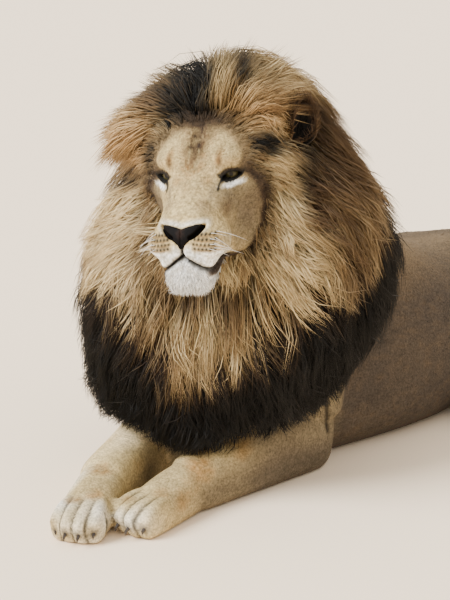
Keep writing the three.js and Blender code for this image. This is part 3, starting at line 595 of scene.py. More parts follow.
def scatter(points: Array, faces: Array, weight: Array, count: int, rng: Rng) -> tuple[Array, Array]:
    """Places spread evenly over a surface.

    Args:
        points: the surface's vertices.
        faces: its triangles.
        weight: how much each vertex wants, from 0.
        count: how many places.
        rng: the stream of random numbers.

    Returns:
        For each place its triangle, and its shares of the triangle's three corners.
    """
    first, second, third = (points[faces[:, k]] for k in range(3))
    area = np.linalg.norm(np.cross(second - first, third - first), axis=1)
    share = np.cumsum(area * weight[faces].mean(axis=1))
    picked = np.searchsorted(share, (np.arange(count) + rng.random(count)) / count * share[-1])
    picked = np.clip(picked, 0, len(faces) - 1)
    one, two = rng.random(count), rng.random(count)
    over = one + two > 1
    one[over], two[over] = 1 - one[over], 1 - two[over]
    return picked, rows_of(1 - one - two, one, two)


def at_places(values: Array, faces: Array, picked: Array, shares: Array) -> Array:
    """Vertex values read at places on the surface."""
    return np.einsum("nk,nkd->nd", shares, values[faces[picked]])


# ---- frames


@dataclass(frozen=True)
class Place:
    """Where a sub-assembly sits and how it is turned, in millimetres and degrees."""

    at: tuple[float, float, float]
    yaw: float = 0.0
    nod: float = 0.0
    roll: float = 0.0
    scale: float = 1.0

    @property
    def turn(self) -> Array:
        """The turn as a matrix: roll about Y, then nod about X, then yaw about Z."""
        whole = Matrix.Identity(3)
        for angle, axis in ((self.yaw, "Z"), (self.nod, "X"), (self.roll, "Y")):
            whole = whole @ Matrix.Rotation(math.radians(angle), 3, axis)
        return np.array(whole)

    def world(self, points: Array) -> Array:
        """Takes points out of this place's own frame."""
        return (points * self.scale) @ self.turn.T + np.array(self.at)

    def local(self, points: Array) -> Array:
        """Takes points into this place's own frame."""
        return ((points - np.array(self.at)) @ self.turn) / self.scale

    def way(self, vectors: Array) -> Array:
        """Turns directions out of this place's own frame."""
        return vectors @ self.turn.T


HEAD = Place((180, -307, 706), yaw=25.5, nod=9, roll=-5)
EYES = {side: Place((side * 58, 1, 0), yaw=side * 20, roll=side * 2, scale=1.06) for side in (1, -1)}
LIPS = ((0, -110), (12, -117), (24, -126), (36, -135), (50, -143), (64, -150), (76, -156), (90, -160))
NOSE_EDGE = (
    (0, -60), (12, -57), (27, -55), (38, -55), (44, -57), (44.5, -60), (40, -65),
    (31, -71), (21, -77), (12, -83), (6, -89), (3.5, -95), (0, -97),
)
NOSTRIL = ((19, -74), (25, -71), (31, -67), (37, -62), (41, -59))


def near_line(points: Array, line: Sequence[Sequence[float]]) -> Array:
    """The distance of each point from an open line through corners."""
    best = np.full(len(points), 1e9)
    for first, last in zip(line[:-1], line[1:]):
        start, run = np.array(first, float), np.array(last, float) - np.array(first, float)
        share = np.clip((points - start) @ run / (run @ run), 0, 1)
        best = np.minimum(best, np.linalg.norm(points - start - share[:, None] * run, axis=1))
    return best


def inside_nose(x: Array, z: Array) -> Array:
    """How far inside the edge of the nose pad points are, seen from the front."""
    side = np.abs(x)
    wide = read_off([(-down, across) for across, down in NOSE_EDGE[4:]], -z)
    top = read_off(NOSE_EDGE[:5], side)
    within = (side < wide) & (z < top) & (z > -97) & (side < 44.5)
    return np.where(within, 1.0, -1.0) * near_line(rows_of(side, z), NOSE_EDGE)


def lid_gap(place: Array, turn: int) -> Array:
    """How far outside the opening between an eye's lids points are, in the eye's own frame."""
    across = place[:, 0] * turn
    share = np.clip((across + 19.5) / 39, 0, 1)
    upper = 4 * 6.6 * share * (1 - share) * (1.3 - 0.45 * share)
    lower = -4 * 6.8 * share * (1 - share) * (0.85 + 0.3 * share) - 2.4 * (1 - share) ** 3
    tall = np.maximum(place[:, 2] - upper, lower - place[:, 2])
    return np.maximum(tall * 0.8, np.abs(across) - 19.0)


# ---- markings and painted shade


# Soft patches on the face: x, y, z, reach, tone and weight. The first two sets are on both sides.
BROW_SPOTS = ((50, 0, 66, 40, Tone.CREAM, 0.85), (46, -30, 36, 17, Tone.CREAM, 0.5))
CHEEK_SPOTS = (
    (92, 4, -50, 52, Tone.SMOKE, 0.9), (76, -26, -92, 44, Tone.SMOKE, 0.85),
    (96, 20, -130, 60, Tone.SMOKE, 0.8), (35, -106, -30, 15, Tone.BROWN, 0.8),
    (98, 10, -70, 44, Tone.BROWN, 0.5), (30, -60, 2, 13, Tone.AMBER, 0.45),
)
# Darker grey-brown on the left cheek only: partly its own colour, partly painted shade where it turns from
# the light.
LEFT_SPOTS = (
    (36, -112, -36, 21, Tone.BROWN, 0.9), (66, -52, -38, 36, Tone.SMOKE, 0.95),
    (62, -64, -50, 20, Tone.BROWN, 0.5),
)
# The fold from the inner corner of each eye down the cheek, as x and z.
CHEEK_FOLD = ((42, -12), (38, -34), (34, -56), (40, -70))


def face_paint(points: Array) -> Array:
    """The coat's colours on the head, with painted shade in places, from places in the head's own frame."""
    x, y, z = points.T
    side = np.abs(x)
    fleck, patch, mottle = grain(points, 4.5, 1), grain(points, 22, 2), grain(points, 10, 9)
    paint = Paint(len(points), Tone.SAND)
    lay = paint.lay
    lay(Tone.CREAM, 0.35 + 0.25 * patch)
    lay(Tone.TAN, 0.35 * smooth(y, 20, 90) + 0.25 * smooth(y, 80, 140))
    ahead = smooth(-y, 100, 140)

    def spot(across: float, ahead: float, up: float, reach: float, tone: Tone, weight: float) -> None:
        """Lays a soft round patch."""
        away = apart(points, (across, ahead, up)) / reach
        lay(tone, weight * np.clip(1.25 - away + 0.25 * patch, 0, 1) * (0.8 + 0.3 * fleck))

    # Pale brow patches either side of a dark, rusty middle, then darker cheeks.
    for turn in (1, -1):
        for across, *row in BROW_SPOTS:
            spot(turn * across, *row)
        brow = bell(side - 49, 7) * bell(z - 36, 15) * (x * turn > 0)
        lay(Tone.AMBER, 0.95 * brow * (0.9 + 0.5 * fleck))
        lay(Tone.BROWN, 0.8 * bell(side - 50, 4) * bell(z - 32, 10) * (x * turn > 0))
        fold = near_line(rows_of(x * turn, z), CHEEK_FOLD)
        lay(Tone.SMOKE, 0.5 * bell(fold, 5) * smooth(-y, 30, 60) * (0.8 + 0.6 * fleck))
        for across, *row in CHEEK_SPOTS:
            spot(turn * across, *row)
    lay(Tone.SMOKE, 0.35 * smooth(side, 62, 84) * smooth(-z, 0, 40))
    # The left cheek's extra grey-brown, partly painted shade.
    for row in LEFT_SPOTS:
        spot(*row)
    middle = bell(x + 6 * patch, 25)
    lay(Tone.AMBER, 0.95 * middle * smooth(z, 2, 26) * (0.65 + 0.8 * fleck))
    lay(Tone.BROWN, 0.7 * bell(x + 8 * patch, 34) * smooth(z, 34, 88) * (0.7 + 0.9 * fleck))
    lay(Tone.UMBER, bell(x - 1 + 8 * fleck, 17) * smooth(z, 6, 58) * (0.75 + 0.9 * fleck))
    crest = smooth(z + 0.4 * y, 84, 106) * (1 - smooth(side, 40, 80))
    lay(Tone.BLACK, 0.9 * crest * (0.9 + 0.5 * patch))
    bridge = bell(x + 8, 10) * bell(z - 2, 30) * smooth(-y, 40, 70)
    lay(Tone.AMBER, 0.4 * bridge * (0.5 + 0.8 * fleck))
    # Painted shade along the hairline, darkest low on the sides where the face meets the mane.
    edge = past_hairline(points)
    lay(Tone.BROWN, 0.6 * smooth(edge, -18, 2))
    line = smooth(edge, -16, -4) * (1 - smooth(edge, 4, 16))
    lay(Tone.UMBER, 0.8 * line * (1 - smooth(z, 0, 40)))
    # The muzzle: pale round the nose, white over the lips and chin.
    lay(Tone.SMOKE, 0.35 * np.clip(mottle + 0.5 * patch, 0, 1) * smooth(-z, -60, 10))
    gap = inside_nose(x, z)
    lay(Tone.CREAM, 0.5 * smooth(-y, 70, 120))
    lay(Tone.WHITE, 0.6 * bell(gap + 4, 4.5) * ahead * smooth(z, -80, -50))
    lip = read_off(LIPS, side)
    low = smooth(-z, 80, 104) * smooth(-y, 50, 90) * (1 - smooth(side, 66, 84))
    lay(Tone.WHITE, 0.9 * low * (1 + 0.3 * fleck))
    # Dark brown beside the chin below the lips: partly dark jaw hair, partly painted shade.
    lay(Tone.UMBER, 0.9 * smooth(lip - z, 0, 8) * smooth(side, 42, 56))
    lay(Tone.WHITE, 0.98 * smooth(lip - z, 2, 8) * smooth(-y, 20, 64) * (1 - smooth(side, 44, 56)))
    pads = smooth(-z, 62, 76) * (1 - smooth(-z, 96, 108)) * smooth(side, 14, 24) * ahead
    lay(Tone.SAND, 0.7 * pads)
    # Whisker spots in rows along the pads.
    for row in range(4):
        for place in range(6):
            across, level = 24 + 7.2 * place, -70 - 8.0 * row - 0.8 * place
            aside = side - across - 2.5 * (row % 2)
            away = np.hypot(aside, z - level)
            trail = np.hypot((aside - 5) / 3.2, z - level + 2.2 + 0.2 * aside)
            lay(Tone.AMBER, 0.35 * bell(trail, 2.3) * ahead)
            lay(Tone.BLACK, 0.95 * bell(away, 2.5) * ahead)
    # Lips and the line under the nose.
    lay(Tone.BLACK, 0.99 * bell(z - lip, 5.0) * smooth(-y, 36, 60))
    lay(Tone.UMBER, 0.92 * bell(z - lip + 7, 8) * smooth(side, 36, 48) * smooth(-y, 0, 40))
    lay(Tone.BLACK, 0.98 * bell(x, 3.2) * bell(z + 102, 9) * ahead)
    # Dark rims round the eyes, thicker on top as painted shade under the brow, painted shade in the crease
    # over each lid, a white patch under them and a line down from each inner corner.
    for turn, eye in EYES.items():
        local = eye.local(points)
        gap, front = lid_gap(local, turn), local[:, 1] < 4
        across, up = local[:, 0] * turn, local[:, 2]
        flat = rows_of(across, up)
        under = (flat - np.array([2.0, -11.6])) / np.array([21.0, 4.8])
        under = 1.6 - np.linalg.norm(under, axis=1) * 1.15 + 0.3 * fleck
        lay(Tone.WHITE, 0.95 * front * np.clip(under, 0, 1))
        # The upper rim is thicker: painted shade under the brow.
        rim = 1.5 + 4.2 * smooth(up, -1, 6)
        lay(Tone.BLACK, 0.98 * front * (1 - smooth(gap, rim * 0.7, rim * 1.5)))
        # Painted shade in the crease over each upper lid.
        crease = up - 13.0 + 0.018 * (across - 2) ** 2
        lay(Tone.BROWN, 0.5 * front * bell(crease, 2.0) * bell(across, 20))
        tear = near_line(flat, ((-17, -2), (-23, -7), (-27, -15)))
        lay(Tone.BLACK, 0.9 * front * bell(tear, 2.4))
    return paint.shade(0.98 + 0.3 * fleck + 0.18 * mottle + 0.12 * patch).values


RUST_PATCHES = (
    (168, -184, 117, 26), (157, -292, 101, 30), (158, -399, 68, 20), (180, -373, 56, 24),
    (20, -441, 96, 22), (67, -498, 72, 20), (124, -258, 115, 22),
    (53, -538, 70, 16), (120, -458, 66, 16),
)


def body_paint(points: Array) -> Array:
    """The short coat's colours on the trunk, legs and tail, with painted light and shade."""
    x, y, z = points.T
    fleck, patch, broad = grain(points, 8, 3), grain(points, 46, 4), grain(points, 130, 5)
    # Dark grey-brown below to tan along the top: partly the coat's own colours, partly painted shade on the
    # flank and painted light along the top of the back.
    paint = Paint(len(points), Tone.FLANK)
    lay = paint.lay
    lay(Tone.TAN, 0.75 * smooth(z, 300, 470) + 0.12 * broad)
    lay(Tone.RUST, 0.5 * smooth(z, 430, 560) * (0.7 + 0.3 * patch))
    lay(Tone.TAN, 0.3 * np.clip(0.2 * patch + 0.9 * fleck, 0, 1))
    lay(Tone.UMBER, 0.5 * np.clip(0.7 * fleck + 0.3 * patch, 0, 1))
    lay(Tone.UMBER, 0.22 * bell(x, 26) * smooth(z, 330, 400))
    limb = (1 - smooth(y, 40, 150)) * (1 - smooth(z, 130, 230))
    lay(Tone.SAND, 0.92 * limb)
    # The legs paler on top, partly their own cream and partly painted light, and darker underneath as
    # painted shade.
    lay(Tone.CREAM, limb * (0.3 + 0.4 * smooth(z, 60, 130) + 0.3 * patch))
    lay(Tone.SMOKE, 0.75 * limb * (1 - smooth(z, 40, 110)) * (1 - smooth(-y, 260, 390)))
    # Partly the leg's own pale cream, partly painted light where the mane's shadow falls on the upper right
    # foreleg.
    lay(Tone.STRAW, 0.95 * smooth(-x, -20, 20) * smooth(-y, 160, 220) * (1 - smooth(-y, 400, 450)))
    # Painted shade: the left forearm darkens towards the elbow.
    lay(Tone.FLANK, 0.6 * limb * smooth(y + 40 * patch, -250, -110) * smooth(x, 60, 140))
    lay(Tone.CREAM, (0.6 + 0.3 * patch) * smooth(-y, 300, 420))
    rust = np.clip(patch + 0.5 * fleck - 0.1, 0, 1)
    lay(Tone.AMBER, 0.4 * rust * smooth(-y, 240, 330) * smooth(z, 30, 60))
    lay(Tone.WHITE, (0.25 + 0.5 * patch) * smooth(-y, 400, 500))
    hind = smooth(np.abs(x), 180, 226) * smooth(y, 560, 640) * (1 - smooth(z, 130, 260))
    lay(Tone.SAND, 0.65 * hind)
    for *place, reach in RUST_PATCHES:
        away = apart(points, place) / reach
        lay(Tone.AMBER, 0.8 * np.clip(1.4 - away + 0.4 * patch, 0, 1) * (0.8 + 0.5 * fleck))
    lay(Tone.TAN, 0.5 * smooth(y, 1000, 1100))
    return paint.shade(1 + 0.2 * fleck + 0.12 * patch).values


# ---- head


@dataclass(frozen=True)
class HeadSkin:
    """The head: skull, muzzle, lids, lips, chin and nose pad.

    Attributes:
        cuts: the fineness of the mesh.
        coat: how deep the skin lies under the tips of its fur.
        eyeball: the radius of an eye.
        lid: the radius of the lids over it.
        leather: how far the nose pad stands proud.
    """

    cuts: int = 60
    coat: float = 2.0
    eyeball: float = 20.0
    lid: float = 22.6
    leather: float = 3.4
    skull: Loft = Loft(
        (
            (0, -162, -84, 44, 34, 62), (0, -132, -88, 60, 50, 86), (0, -96, -82, 63, 60, 92),
            (0, -56, -72, 68, 70, 92), (0, -14, -48, 86, 74, 102), (0, 28, -22, 112, 90, 122),
            (0, 72, -6, 124, 100, 132), (0, 126, 0, 120, 100, 118), (0, 180, 0, 100, 84, 94),
            (0, 228, -6, 66, 56, 60),
        ),
        box=0.86,
        ends=(0.1, 0.16),
        bias=1.3,
    )
    paired: tuple[Bump, ...] = (
        Bump((38, -134, -96), (42, 48, 36), (16, -12, -3)),
        Bump((64, -104, -94), (38, 52, 42), (16, -2, -4)),
        Bump((66, -104, -132), (36, 60, 24), (-8, 4, 0)),
        Bump((40, -34, -10), (24, 40, 26), (-6, 10, -6)),
        Bump((64, -24, -2), (36, 34, 26), (0, 15, 0)),
        Bump((56, -12, 34), (44, 32, 22), (3, -13, 4)),
        Bump((104, 22, -34), (44, 64, 44), (11, -8, 0)),
        Bump((82, -46, -74), (36, 46, 48), (-6, 6, 0)),
        Bump((88, 34, -100), (60, 84, 66), (17, -12, -32)),
        Bump((74, 4, -138), (62, 92, 52), (16, 0, -44)),
        Bump((34, -120, -156), (38, 50, 34), (2, -4, -6)),
    )
    middle: tuple[Bump, ...] = (
        Bump((0, -132, -150), (64, 50, 44), (0, -14, -10)),
        Bump((0, 10, 62), (18, 60, 50), (0, 6, -5)),
        Bump((0, -70, -20), (36, 70, 40), (0, -4, 7)),
        Bump((0, -164, -112), (10, 24, 30), (0, 10, 0)),
    )

    def plain(self, ways: Array) -> Array:
        """Points of the head without its lids, lips and nostrils."""
        bumps = [*self.middle]
        for bump in self.paired:
            bumps.extend(bump.pair())
        return sculpt(self.skull.wrap(ways), bumps)

    def lips(self, points: Array, normals: Array) -> Array:
        """Presses in the line of the mouth and the groove under the nose."""
        x, y, z = points.T
        lip = read_off(LIPS, np.abs(x))
        ahead = smooth(-y, 40, 80)
        groove = bell(x, 2.6) * bell(z + 103, 9) * smooth(-y, 130, 150)
        swell = 3.2 * bell(z - lip - 12, 9) + 3.0 * bell(z - lip + 11, 9)
        push = (swell - 7.0 * bell(z - lip, 3.4)) * ahead - 3.5 * groove
        return points + normals * push[:, None]

    def lids(self, points: Array) -> Array:
        """Lays the lids over each eye and sinks the opening behind it."""
        moved = points.copy()
        for turn, eye in EYES.items():
            local = eye.local(moved)
            near = (np.hypot(local[:, 0], local[:, 2]) < 34) & (local[:, 1] < 12)
            place = local[near]
            gap = lid_gap(place, turn)
            snap = (gap > -1.5) & (gap < 0.9)
            slide = np.where(np.abs(place[:, 0]) < 17, np.sign(place[:, 2]) * -gap, 0.0)
            place[snap, 2] += slide[snap]
            gap = np.where(snap, 0.0, gap)
            x, y, z = place.T
            across = (x / 1.12) ** 2 + (z / 0.96) ** 2
            dome = -np.sqrt(np.maximum(self.lid**2 - across, 0.0))
            close = smooth(-np.sqrt(across), -self.lid * 1.25, -self.lid * 0.72)
            fold = 1.6 * bell(z - 14.5 + 0.016 * x**2, 2.2) * bell(x, 20)
            bag = 1.2 * bell(z + 16, 3.0) * bell(x, 18)
            lidded = np.minimum(y, mix(y, dome, close)) + fold - bag
            lidded -= 0.8 * bell(gap - 1.2, 1.6)
            sunk = -np.sqrt(np.maximum((self.eyeball - 4.5) ** 2 - across, 0.0))
            place[:, 1] = np.where(gap < -0.1, sunk, lidded)
            local[near] = place
            moved[near] = eye.world(local[near])
        return moved

    def nostrils(self, points: Array, normals: Array, depth: float) -> Array:
        """Sinks the two nostrils."""
        x, y, z = points.T
        pit = np.exp(-((near_line(rows_of(np.abs(x), z), NOSTRIL) / 4.0) ** 4)) * smooth(-y, 118, 134)
        return points - normals * (depth * pit)[:, None]

    def mesh(self) -> tuple[Mesh, Mesh]:
        """Makes the skin and the nose pad, both in the head's own frame in millimetres."""
        skin = finished(ball(self.cuts, lambda ways: ways[:, 2] > -0.15), "head_skin")
        points = self.plain(unit(vertices(skin)))
        set_vertices(skin, points)
        normals = vertices(skin, "normal")
        points = points - normals * self.coat
        points = self.lips(points, normals)
        set_vertices(skin, points)
        normals = vertices(skin, "normal")
        pad = self.pad(skin, normals)
        sink = 3.0 * smooth(inside_nose(points[:, 0], points[:, 2]), -1, 2) * (points[:, 1] < -124)
        points = self.nostrils(self.lids(points), normals, 12.0) - normals * sink[:, None]
        set_vertices(skin, points)
        return skin, pad

    def pad(self, skin: Mesh, normals: Array) -> Mesh:
        """Cuts the nose pad out of a finer copy of the skin and gives it its thickness."""
        shape = bmesh.new()
        shape.from_mesh(skin)
        shape.verts.ensure_lookup_table()
        points = vertices(skin)
        gap = inside_nose(points[:, 0], points[:, 2])
        far = (gap < -2.5) | (points[:, 1] > -124)
        bmesh.ops.delete(shape, geom=[shape.verts[i] for i in np.nonzero(far)[0]], context="VERTS")
        bmesh.ops.subdivide_edges(shape, edges=shape.edges[:], cuts=1, use_grid_fill=True)
        shape.normal_update()
        places = np.array([vert.co[:] for vert in shape.verts])
        ways = np.array([vert.normal[:] for vert in shape.verts])
        gap = inside_nose(places[:, 0], places[:, 2])
        full = rounded(np.clip(gap / 4.5, 0, 1))
        x, z = places[:, 0], places[:, 2]
        groove = 1.6 * bell(x, 1.5) * smooth(-z, 56, 70)
        wing = 1.8 * bell(np.abs(x) - 26, 9) * smooth(z, -66, -54)
        places = places + ways * (mix(-3.0, self.leather, full) - groove + wing)[:, None]
        places = self.nostrils(places, ways, 10.0)
        for vert, place in zip(shape.verts, places):
            vert.co = place
        rim = [edge for edge in shape.edges if edge.is_boundary]
        wall = bmesh.ops.extrude_edge_only(shape, edges=rim)["geom"]
        bmesh.ops.translate(shape, verts=corners_among(wall), vec=(0, 6, 0))
        bmesh.ops.holes_fill(shape, edges=[edge for edge in shape.edges if edge.is_boundary])
        return finished(shape, "nose_pad")


class Head:
    """The head's pieces, dressed."""

    def __init__(self, form: HeadSkin) -> None:
        """Makes the skin's meshes."""
        self.form = form
        self.skin, self.pad = form.mesh()
        self.points = vertices(self.skin)
        self.normals = vertices(self.skin, "normal")
        self.faces = triangles(self.skin)
        self.surface = self.points, self.normals, self.faces

    def build(self) -> None:
        """Dresses the skin, the nose and the eyes."""
        paint_mesh(self.skin, face_paint(self.points))
        set_vertices(self.skin, HEAD.world(self.points) * MM)
        Piece("head_skin", self.skin, SHORT_FUR, "face_fur").stands_for("head", "lower_jaw")
        self.build_nose()
        for name, turn in (("left", 1), ("right", -1)):
            self.build_eye(name, EYES[turn])

    def build_nose(self) -> None:
        """Colours the nose pad: black, with a brownish middle and painted shade in the nostrils."""
        places = vertices(self.pad)
        x, _, z = places.T
        paint = Paint(len(places), Tone.LEATHER)
        centre = np.hypot(x, (z + 62) / 1.6)
        paint.lay(Tone.PINK, 0.6 * np.clip(1.2 - centre / 9 + 0.3 * grain(places, 4, 6), 0, 1))
        # Painted shade in the nostrils.
        paint.shade(1 - 0.8 * bell(near_line(rows_of(np.abs(x), z), NOSTRIL), 4.5))
        paint_mesh(self.pad, paint.values)
        set_vertices(self.pad, HEAD.world(places) * MM)
        Piece("nose_pad", self.pad, NOSE_LEATHER, "nose_leather").stands_for("nose")

    def build_eye(self, name: str, place: Place) -> None:
        """Makes one eyeball with its iris and pupil, looking out along its own -Y."""
        mesh = finished(ball(30), f"eyeball_{name}")
        ways = unit(vertices(mesh))
        gaze = unit(np.array([0.0, -1.0, 0.06]))
        angle = np.degrees(np.arccos(np.clip(ways @ gaze, -1, 1)))
        bulge = 1.2 * (1 - smooth(angle, 20, 36))
        streak = grain(rows_of(ways[:, 0] * 40, angle * 0.4, ways[:, 2] * 40), 3.0, 8)
        paint = Paint(len(ways), Tone.IRIS)
        shadow = 0.4 * smooth(angle, 22, 38) + 0.5 * smooth(ways[:, 2], 0.12, 0.4)
        paint.shade(1 + 0.25 * streak - shadow)
        paint.lay(Tone.BLACK, 1 - smooth(angle, 8.0, 11))
        paint.lay(Tone.BLACK, smooth(angle, 36, 41))
        paint_mesh(mesh, paint.values)
        centre = ways * (self.form.eyeball + bulge)[:, None]
        set_vertices(mesh, HEAD.world(place.world(centre)) * MM)
        Piece(f"eyeball_{name}", mesh, WET_EYE, "eye").stands_for(f"eye_{name}")


@dataclass(frozen=True)
class EarSkin:
    """A round ear: a cupped leaf on its root.

    Attributes:
        name: which ear it is.
        side: 1 on the left, -1 on the right.
        across: its distance from the middle of the head.
    """

    name: str
    side: int
    across: float
    leaf: tuple[float, float, float] = (33, 18.9, 50)
    bowl: tuple[float, float, float] = (27, 24, 43)
    cuts: int = 24

    @property
    def place(self) -> Matrix:
        """Where the leaf sits in the head's own frame."""
        turn = Matrix.Rotation(math.radians(self.side * 44), 3, "Z")
        turn = turn @ Matrix.Rotation(math.radians(self.side * 20), 3, "Y")
        return turn @ Matrix.Rotation(math.radians(-14), 3, "X")

    def shape(self) -> tuple[Array, Mesh]:
        """Makes the cupped leaf in its own frame."""
        mesh = finished(ball(self.cuts), f"ear_skin_{self.name}")
        ways = unit(vertices(mesh))
        points = ways * (np.array(self.leaf) - 1.0) + np.array([0, 4.5, 0])
        wide = (points[:, 0] / self.bowl[0]) ** 2 + ((points[:, 2] - 3) / self.bowl[2]) ** 2
        floor = -9.9 + self.bowl[1] * np.sqrt(np.maximum(1 - wide, 0))
        cup = (ways[:, 1] < 0) & (wide < 1)
        points[cup, 1] = np.maximum(points[:, 1], floor)[cup]
        points += smooth(-points[:, 2], 8, 56)[:, None] * np.array([-30.0 * self.side, 10.0, -6.0])
        set_vertices(mesh, points)
        return points, mesh

    def build(self) -> "EarSkin":
        """Dresses the ear: dark and thinly haired inside, with painted shade in its hollow, black and tan
        behind.
        """
        points, mesh = self.shape()
        inner = vertices(mesh, "normal")[:, 1] < 0.1
        x, y, z = points.T
        paint = Paint(len(points), Tone.BROWN)
        paint.lay(Tone.UMBER, 0.9 * (y > 5) * (1 - smooth(z, 20, 40)))
        deep = np.hypot(x / 30, (z + 4) / 43)
        # Painted shade in the hollow of the ear.
        paint.lay(Tone.BLACK, 0.9 * inner * (1 - smooth(deep, 0.6, 1.0)))
        paint_mesh(mesh, paint.values)
        turn = np.array(self.place)
        centre = np.array([self.side * self.across, 134.0, 40.0])
        set_vertices(mesh, HEAD.world(points @ turn.T + centre) * MM)
        Piece(f"ear_skin_{self.name}", mesh, SHORT_FUR, "coat_fur").stands_for(f"ear_{self.name}")
        return self


# ---- trunk, legs and tail


@dataclass(frozen=True)
class Limb:
    """One lofted part of the body and where it sits."""

    loft: Loft
    place: Place = Place((0, 0, 0))
    cuts: int = 24

    def add_to(self, shape: Shape) -> None:
        """Adds its closed surface to a working shape, flattened where it meets the floor."""
        part = ball(self.cuts)
        ways = np.array([vert.co[:] for vert in part.verts])
        points = self.place.world(self.loft.wrap(ways))
        points[:, 2] = np.maximum(points[:, 2], 0.0)
        for vert, point in zip(part.verts, points):
            vert.co = point
        mesh = finished(part, "limb")
        shape.from_mesh(mesh)
        bpy.data.meshes.remove(mesh)

    def line(self, count: int) -> tuple[Array, Array]:
        """Points on its centre line and the directions there."""
        share = np.linspace(0.04, 0.96, count)
        return self.place.world(self.loft.centre(share)), self.place.way(self.loft.tangent(share))


@dataclass(frozen=True)
class Foreleg:
    """A foreleg laid forward along the floor, with its paw."""

    elbow: tuple[float, float, float]
    wrist: tuple[float, float]
    bearing: float
    shoulder: tuple[float, float, float]
    paw_scale: float = 1.03

    def limbs(self) -> list[Limb]:
        """The forearm and the upper arm."""
        ex, ey, ez = self.elbow
        wx, wy = self.wrist
        rows = (
            (-0.1, ez - 4, 46, 52, ez - 8), (0.06, ez, 62, 80, ez + 8),
            (0.4, ez - 8, 62, 80, ez), (0.72, 56, 58, 70, 64), (1.0, 50, 55, 62, 58),
            (1.08, 50, 46, 50, 46),
        )
        stations = tuple((mix(ex, wx, share), mix(ey, wy, share), *row) for share, *row in rows)
        forearm = Loft(stations, box=0.86, sole=0.64, ends=(0.1, 0.1))
        sx, sy, sz = self.shoulder
        middle = (mix(sx, ex, 0.55) + 4 * np.sign(ex), mix(sy, ey, 0.5), mix(sz, ez, 0.5), 70, 100, 110)
        upper = Loft(
            ((sx, sy, sz, 70, 110, 120), middle, (ex, ey + 6, ez + 24, 60, 74, 66)),
            top=(0, -1, 0),
        )
        return [Limb(forearm, cuts=30), Limb(upper, cuts=20)]


@dataclass(frozen=True)
class Hindleg:
    """A hind leg folded beside the rump, with its long foot."""

    side: int
    hock: tuple[float, float] = (262, 880)
    bearing: float = 8
    paw_scale: float = 0.9

    def limbs(self) -> list[Limb]:
        """The thigh, the shank and the foot."""
        s = self.side
        hx, hy = s * self.hock[0], self.hock[1]
        thigh = (
            (s * 116, 950, 250, 60, 100, 120), (s * 150, 860, 230, 84, 136, 170),
            (s * 184, 730, 200, 84, 138, 176), (s * 208, 606, 160, 66, 104, 134),
            (s * 216, 540, 146, 46, 66, 90),
        )
        shank = (
            (s * 216, 596, 116, 52, 66, 80), (s * 230, 730, 88, 52, 70, 80),
            (s * 250, 860, 66, 40, 50, 60), (hx, hy + 60, 54, 34, 38, 62),
        )
        foot = (
            (hx, hy + 66, 46, 34, 40, 46), (hx, hy, 44, 38, 40, 52),
            (hx + s * 6, hy - 110, 42, 42, 38, 50), (hx + s * 14, hy - 190, 40, 44, 36, 40),
        )
        return [
            Limb(Loft(thigh, box=0.92, ends=(0.14, 0.14)), cuts=26),
            Limb(Loft(shank), cuts=24),
            Limb(Loft(foot, box=0.9, sole=0.7), cuts=24),
        ]


TOES = ((-33, -180, -5), (-11.5, -202, -2), (11.5, -204, 2), (33, -184, 5))


@dataclass(frozen=True)
class Paw:
    """A broad paw flat on the floor: a palm and four round toes."""

    place: Place
    toe: float = 18.0
    palm: Loft = Loft(
        (
            (0, 46, 52, 44, 46, 52), (0, 0, 50, 47, 50, 58), (0, -70, 42, 52, 46, 50),
            (0, -150, 32, 54, 30, 42), (0, -196, 28, 52, 26, 34),
        ),
        box=0.88,
        sole=0.66,
    )

    def toe_loft(self, x: float, reach: float, spread: float) -> Loft:
        """One toe, with its high knuckle."""
        stations = (
            (x * 0.75, -46, 44, 15, 20, 26), (x * 0.98, reach * 0.5 - 40, 46, 17, 25, 28),
            (x + spread * 0.6, reach * 0.78 - 22, 34, self.toe, 30, 42),
            (x + spread, reach, 22, 16.6, 22, 30),
        )
        return Loft(stations, box=0.9, sole=0.75, ends=(0.1, 0.14))

    def limbs(self) -> list[Limb]:
        """The palm and the toes."""
        parts = [Limb(self.palm, self.place, cuts=24)]
        parts += [Limb(self.toe_loft(*row), self.place, cuts=20) for row in TOES]
        return parts

    def seams(self, points: Array) -> Array:
        """How close points are to the clefts between the toes, from 0 to 1."""
        x, y, z = self.place.local(points).T
        dark = np.zeros(len(points))
        for first, last in zip(TOES[:-1], TOES[1:]):
            reach, root = max(first[1], last[1]) + 4, -66.0
            share = np.clip((y - root) / (reach - root), 0, 1)
            start = (first[0] + last[0]) / 2 * 0.9
            end = (first[0] + first[2] + last[0] + last[2]) / 2
            along = smooth(-y, 110, 150) * (y > -226) * (z > -6) * (z < 92)
            dark = np.maximum(dark, bell(x - mix(start, end, share), 2.4) * along)
        return dark

    def sheaths(self, points: Array) -> Array:
        """How close points are to where the claws come out, from 0 to 1."""
        local = self.place.local(points)
        tips = [(x + spread, reach - 3, 27) for x, reach, spread in TOES]
        return np.max([bell(apart(local, tip), 10.0) for tip in tips], axis=0)


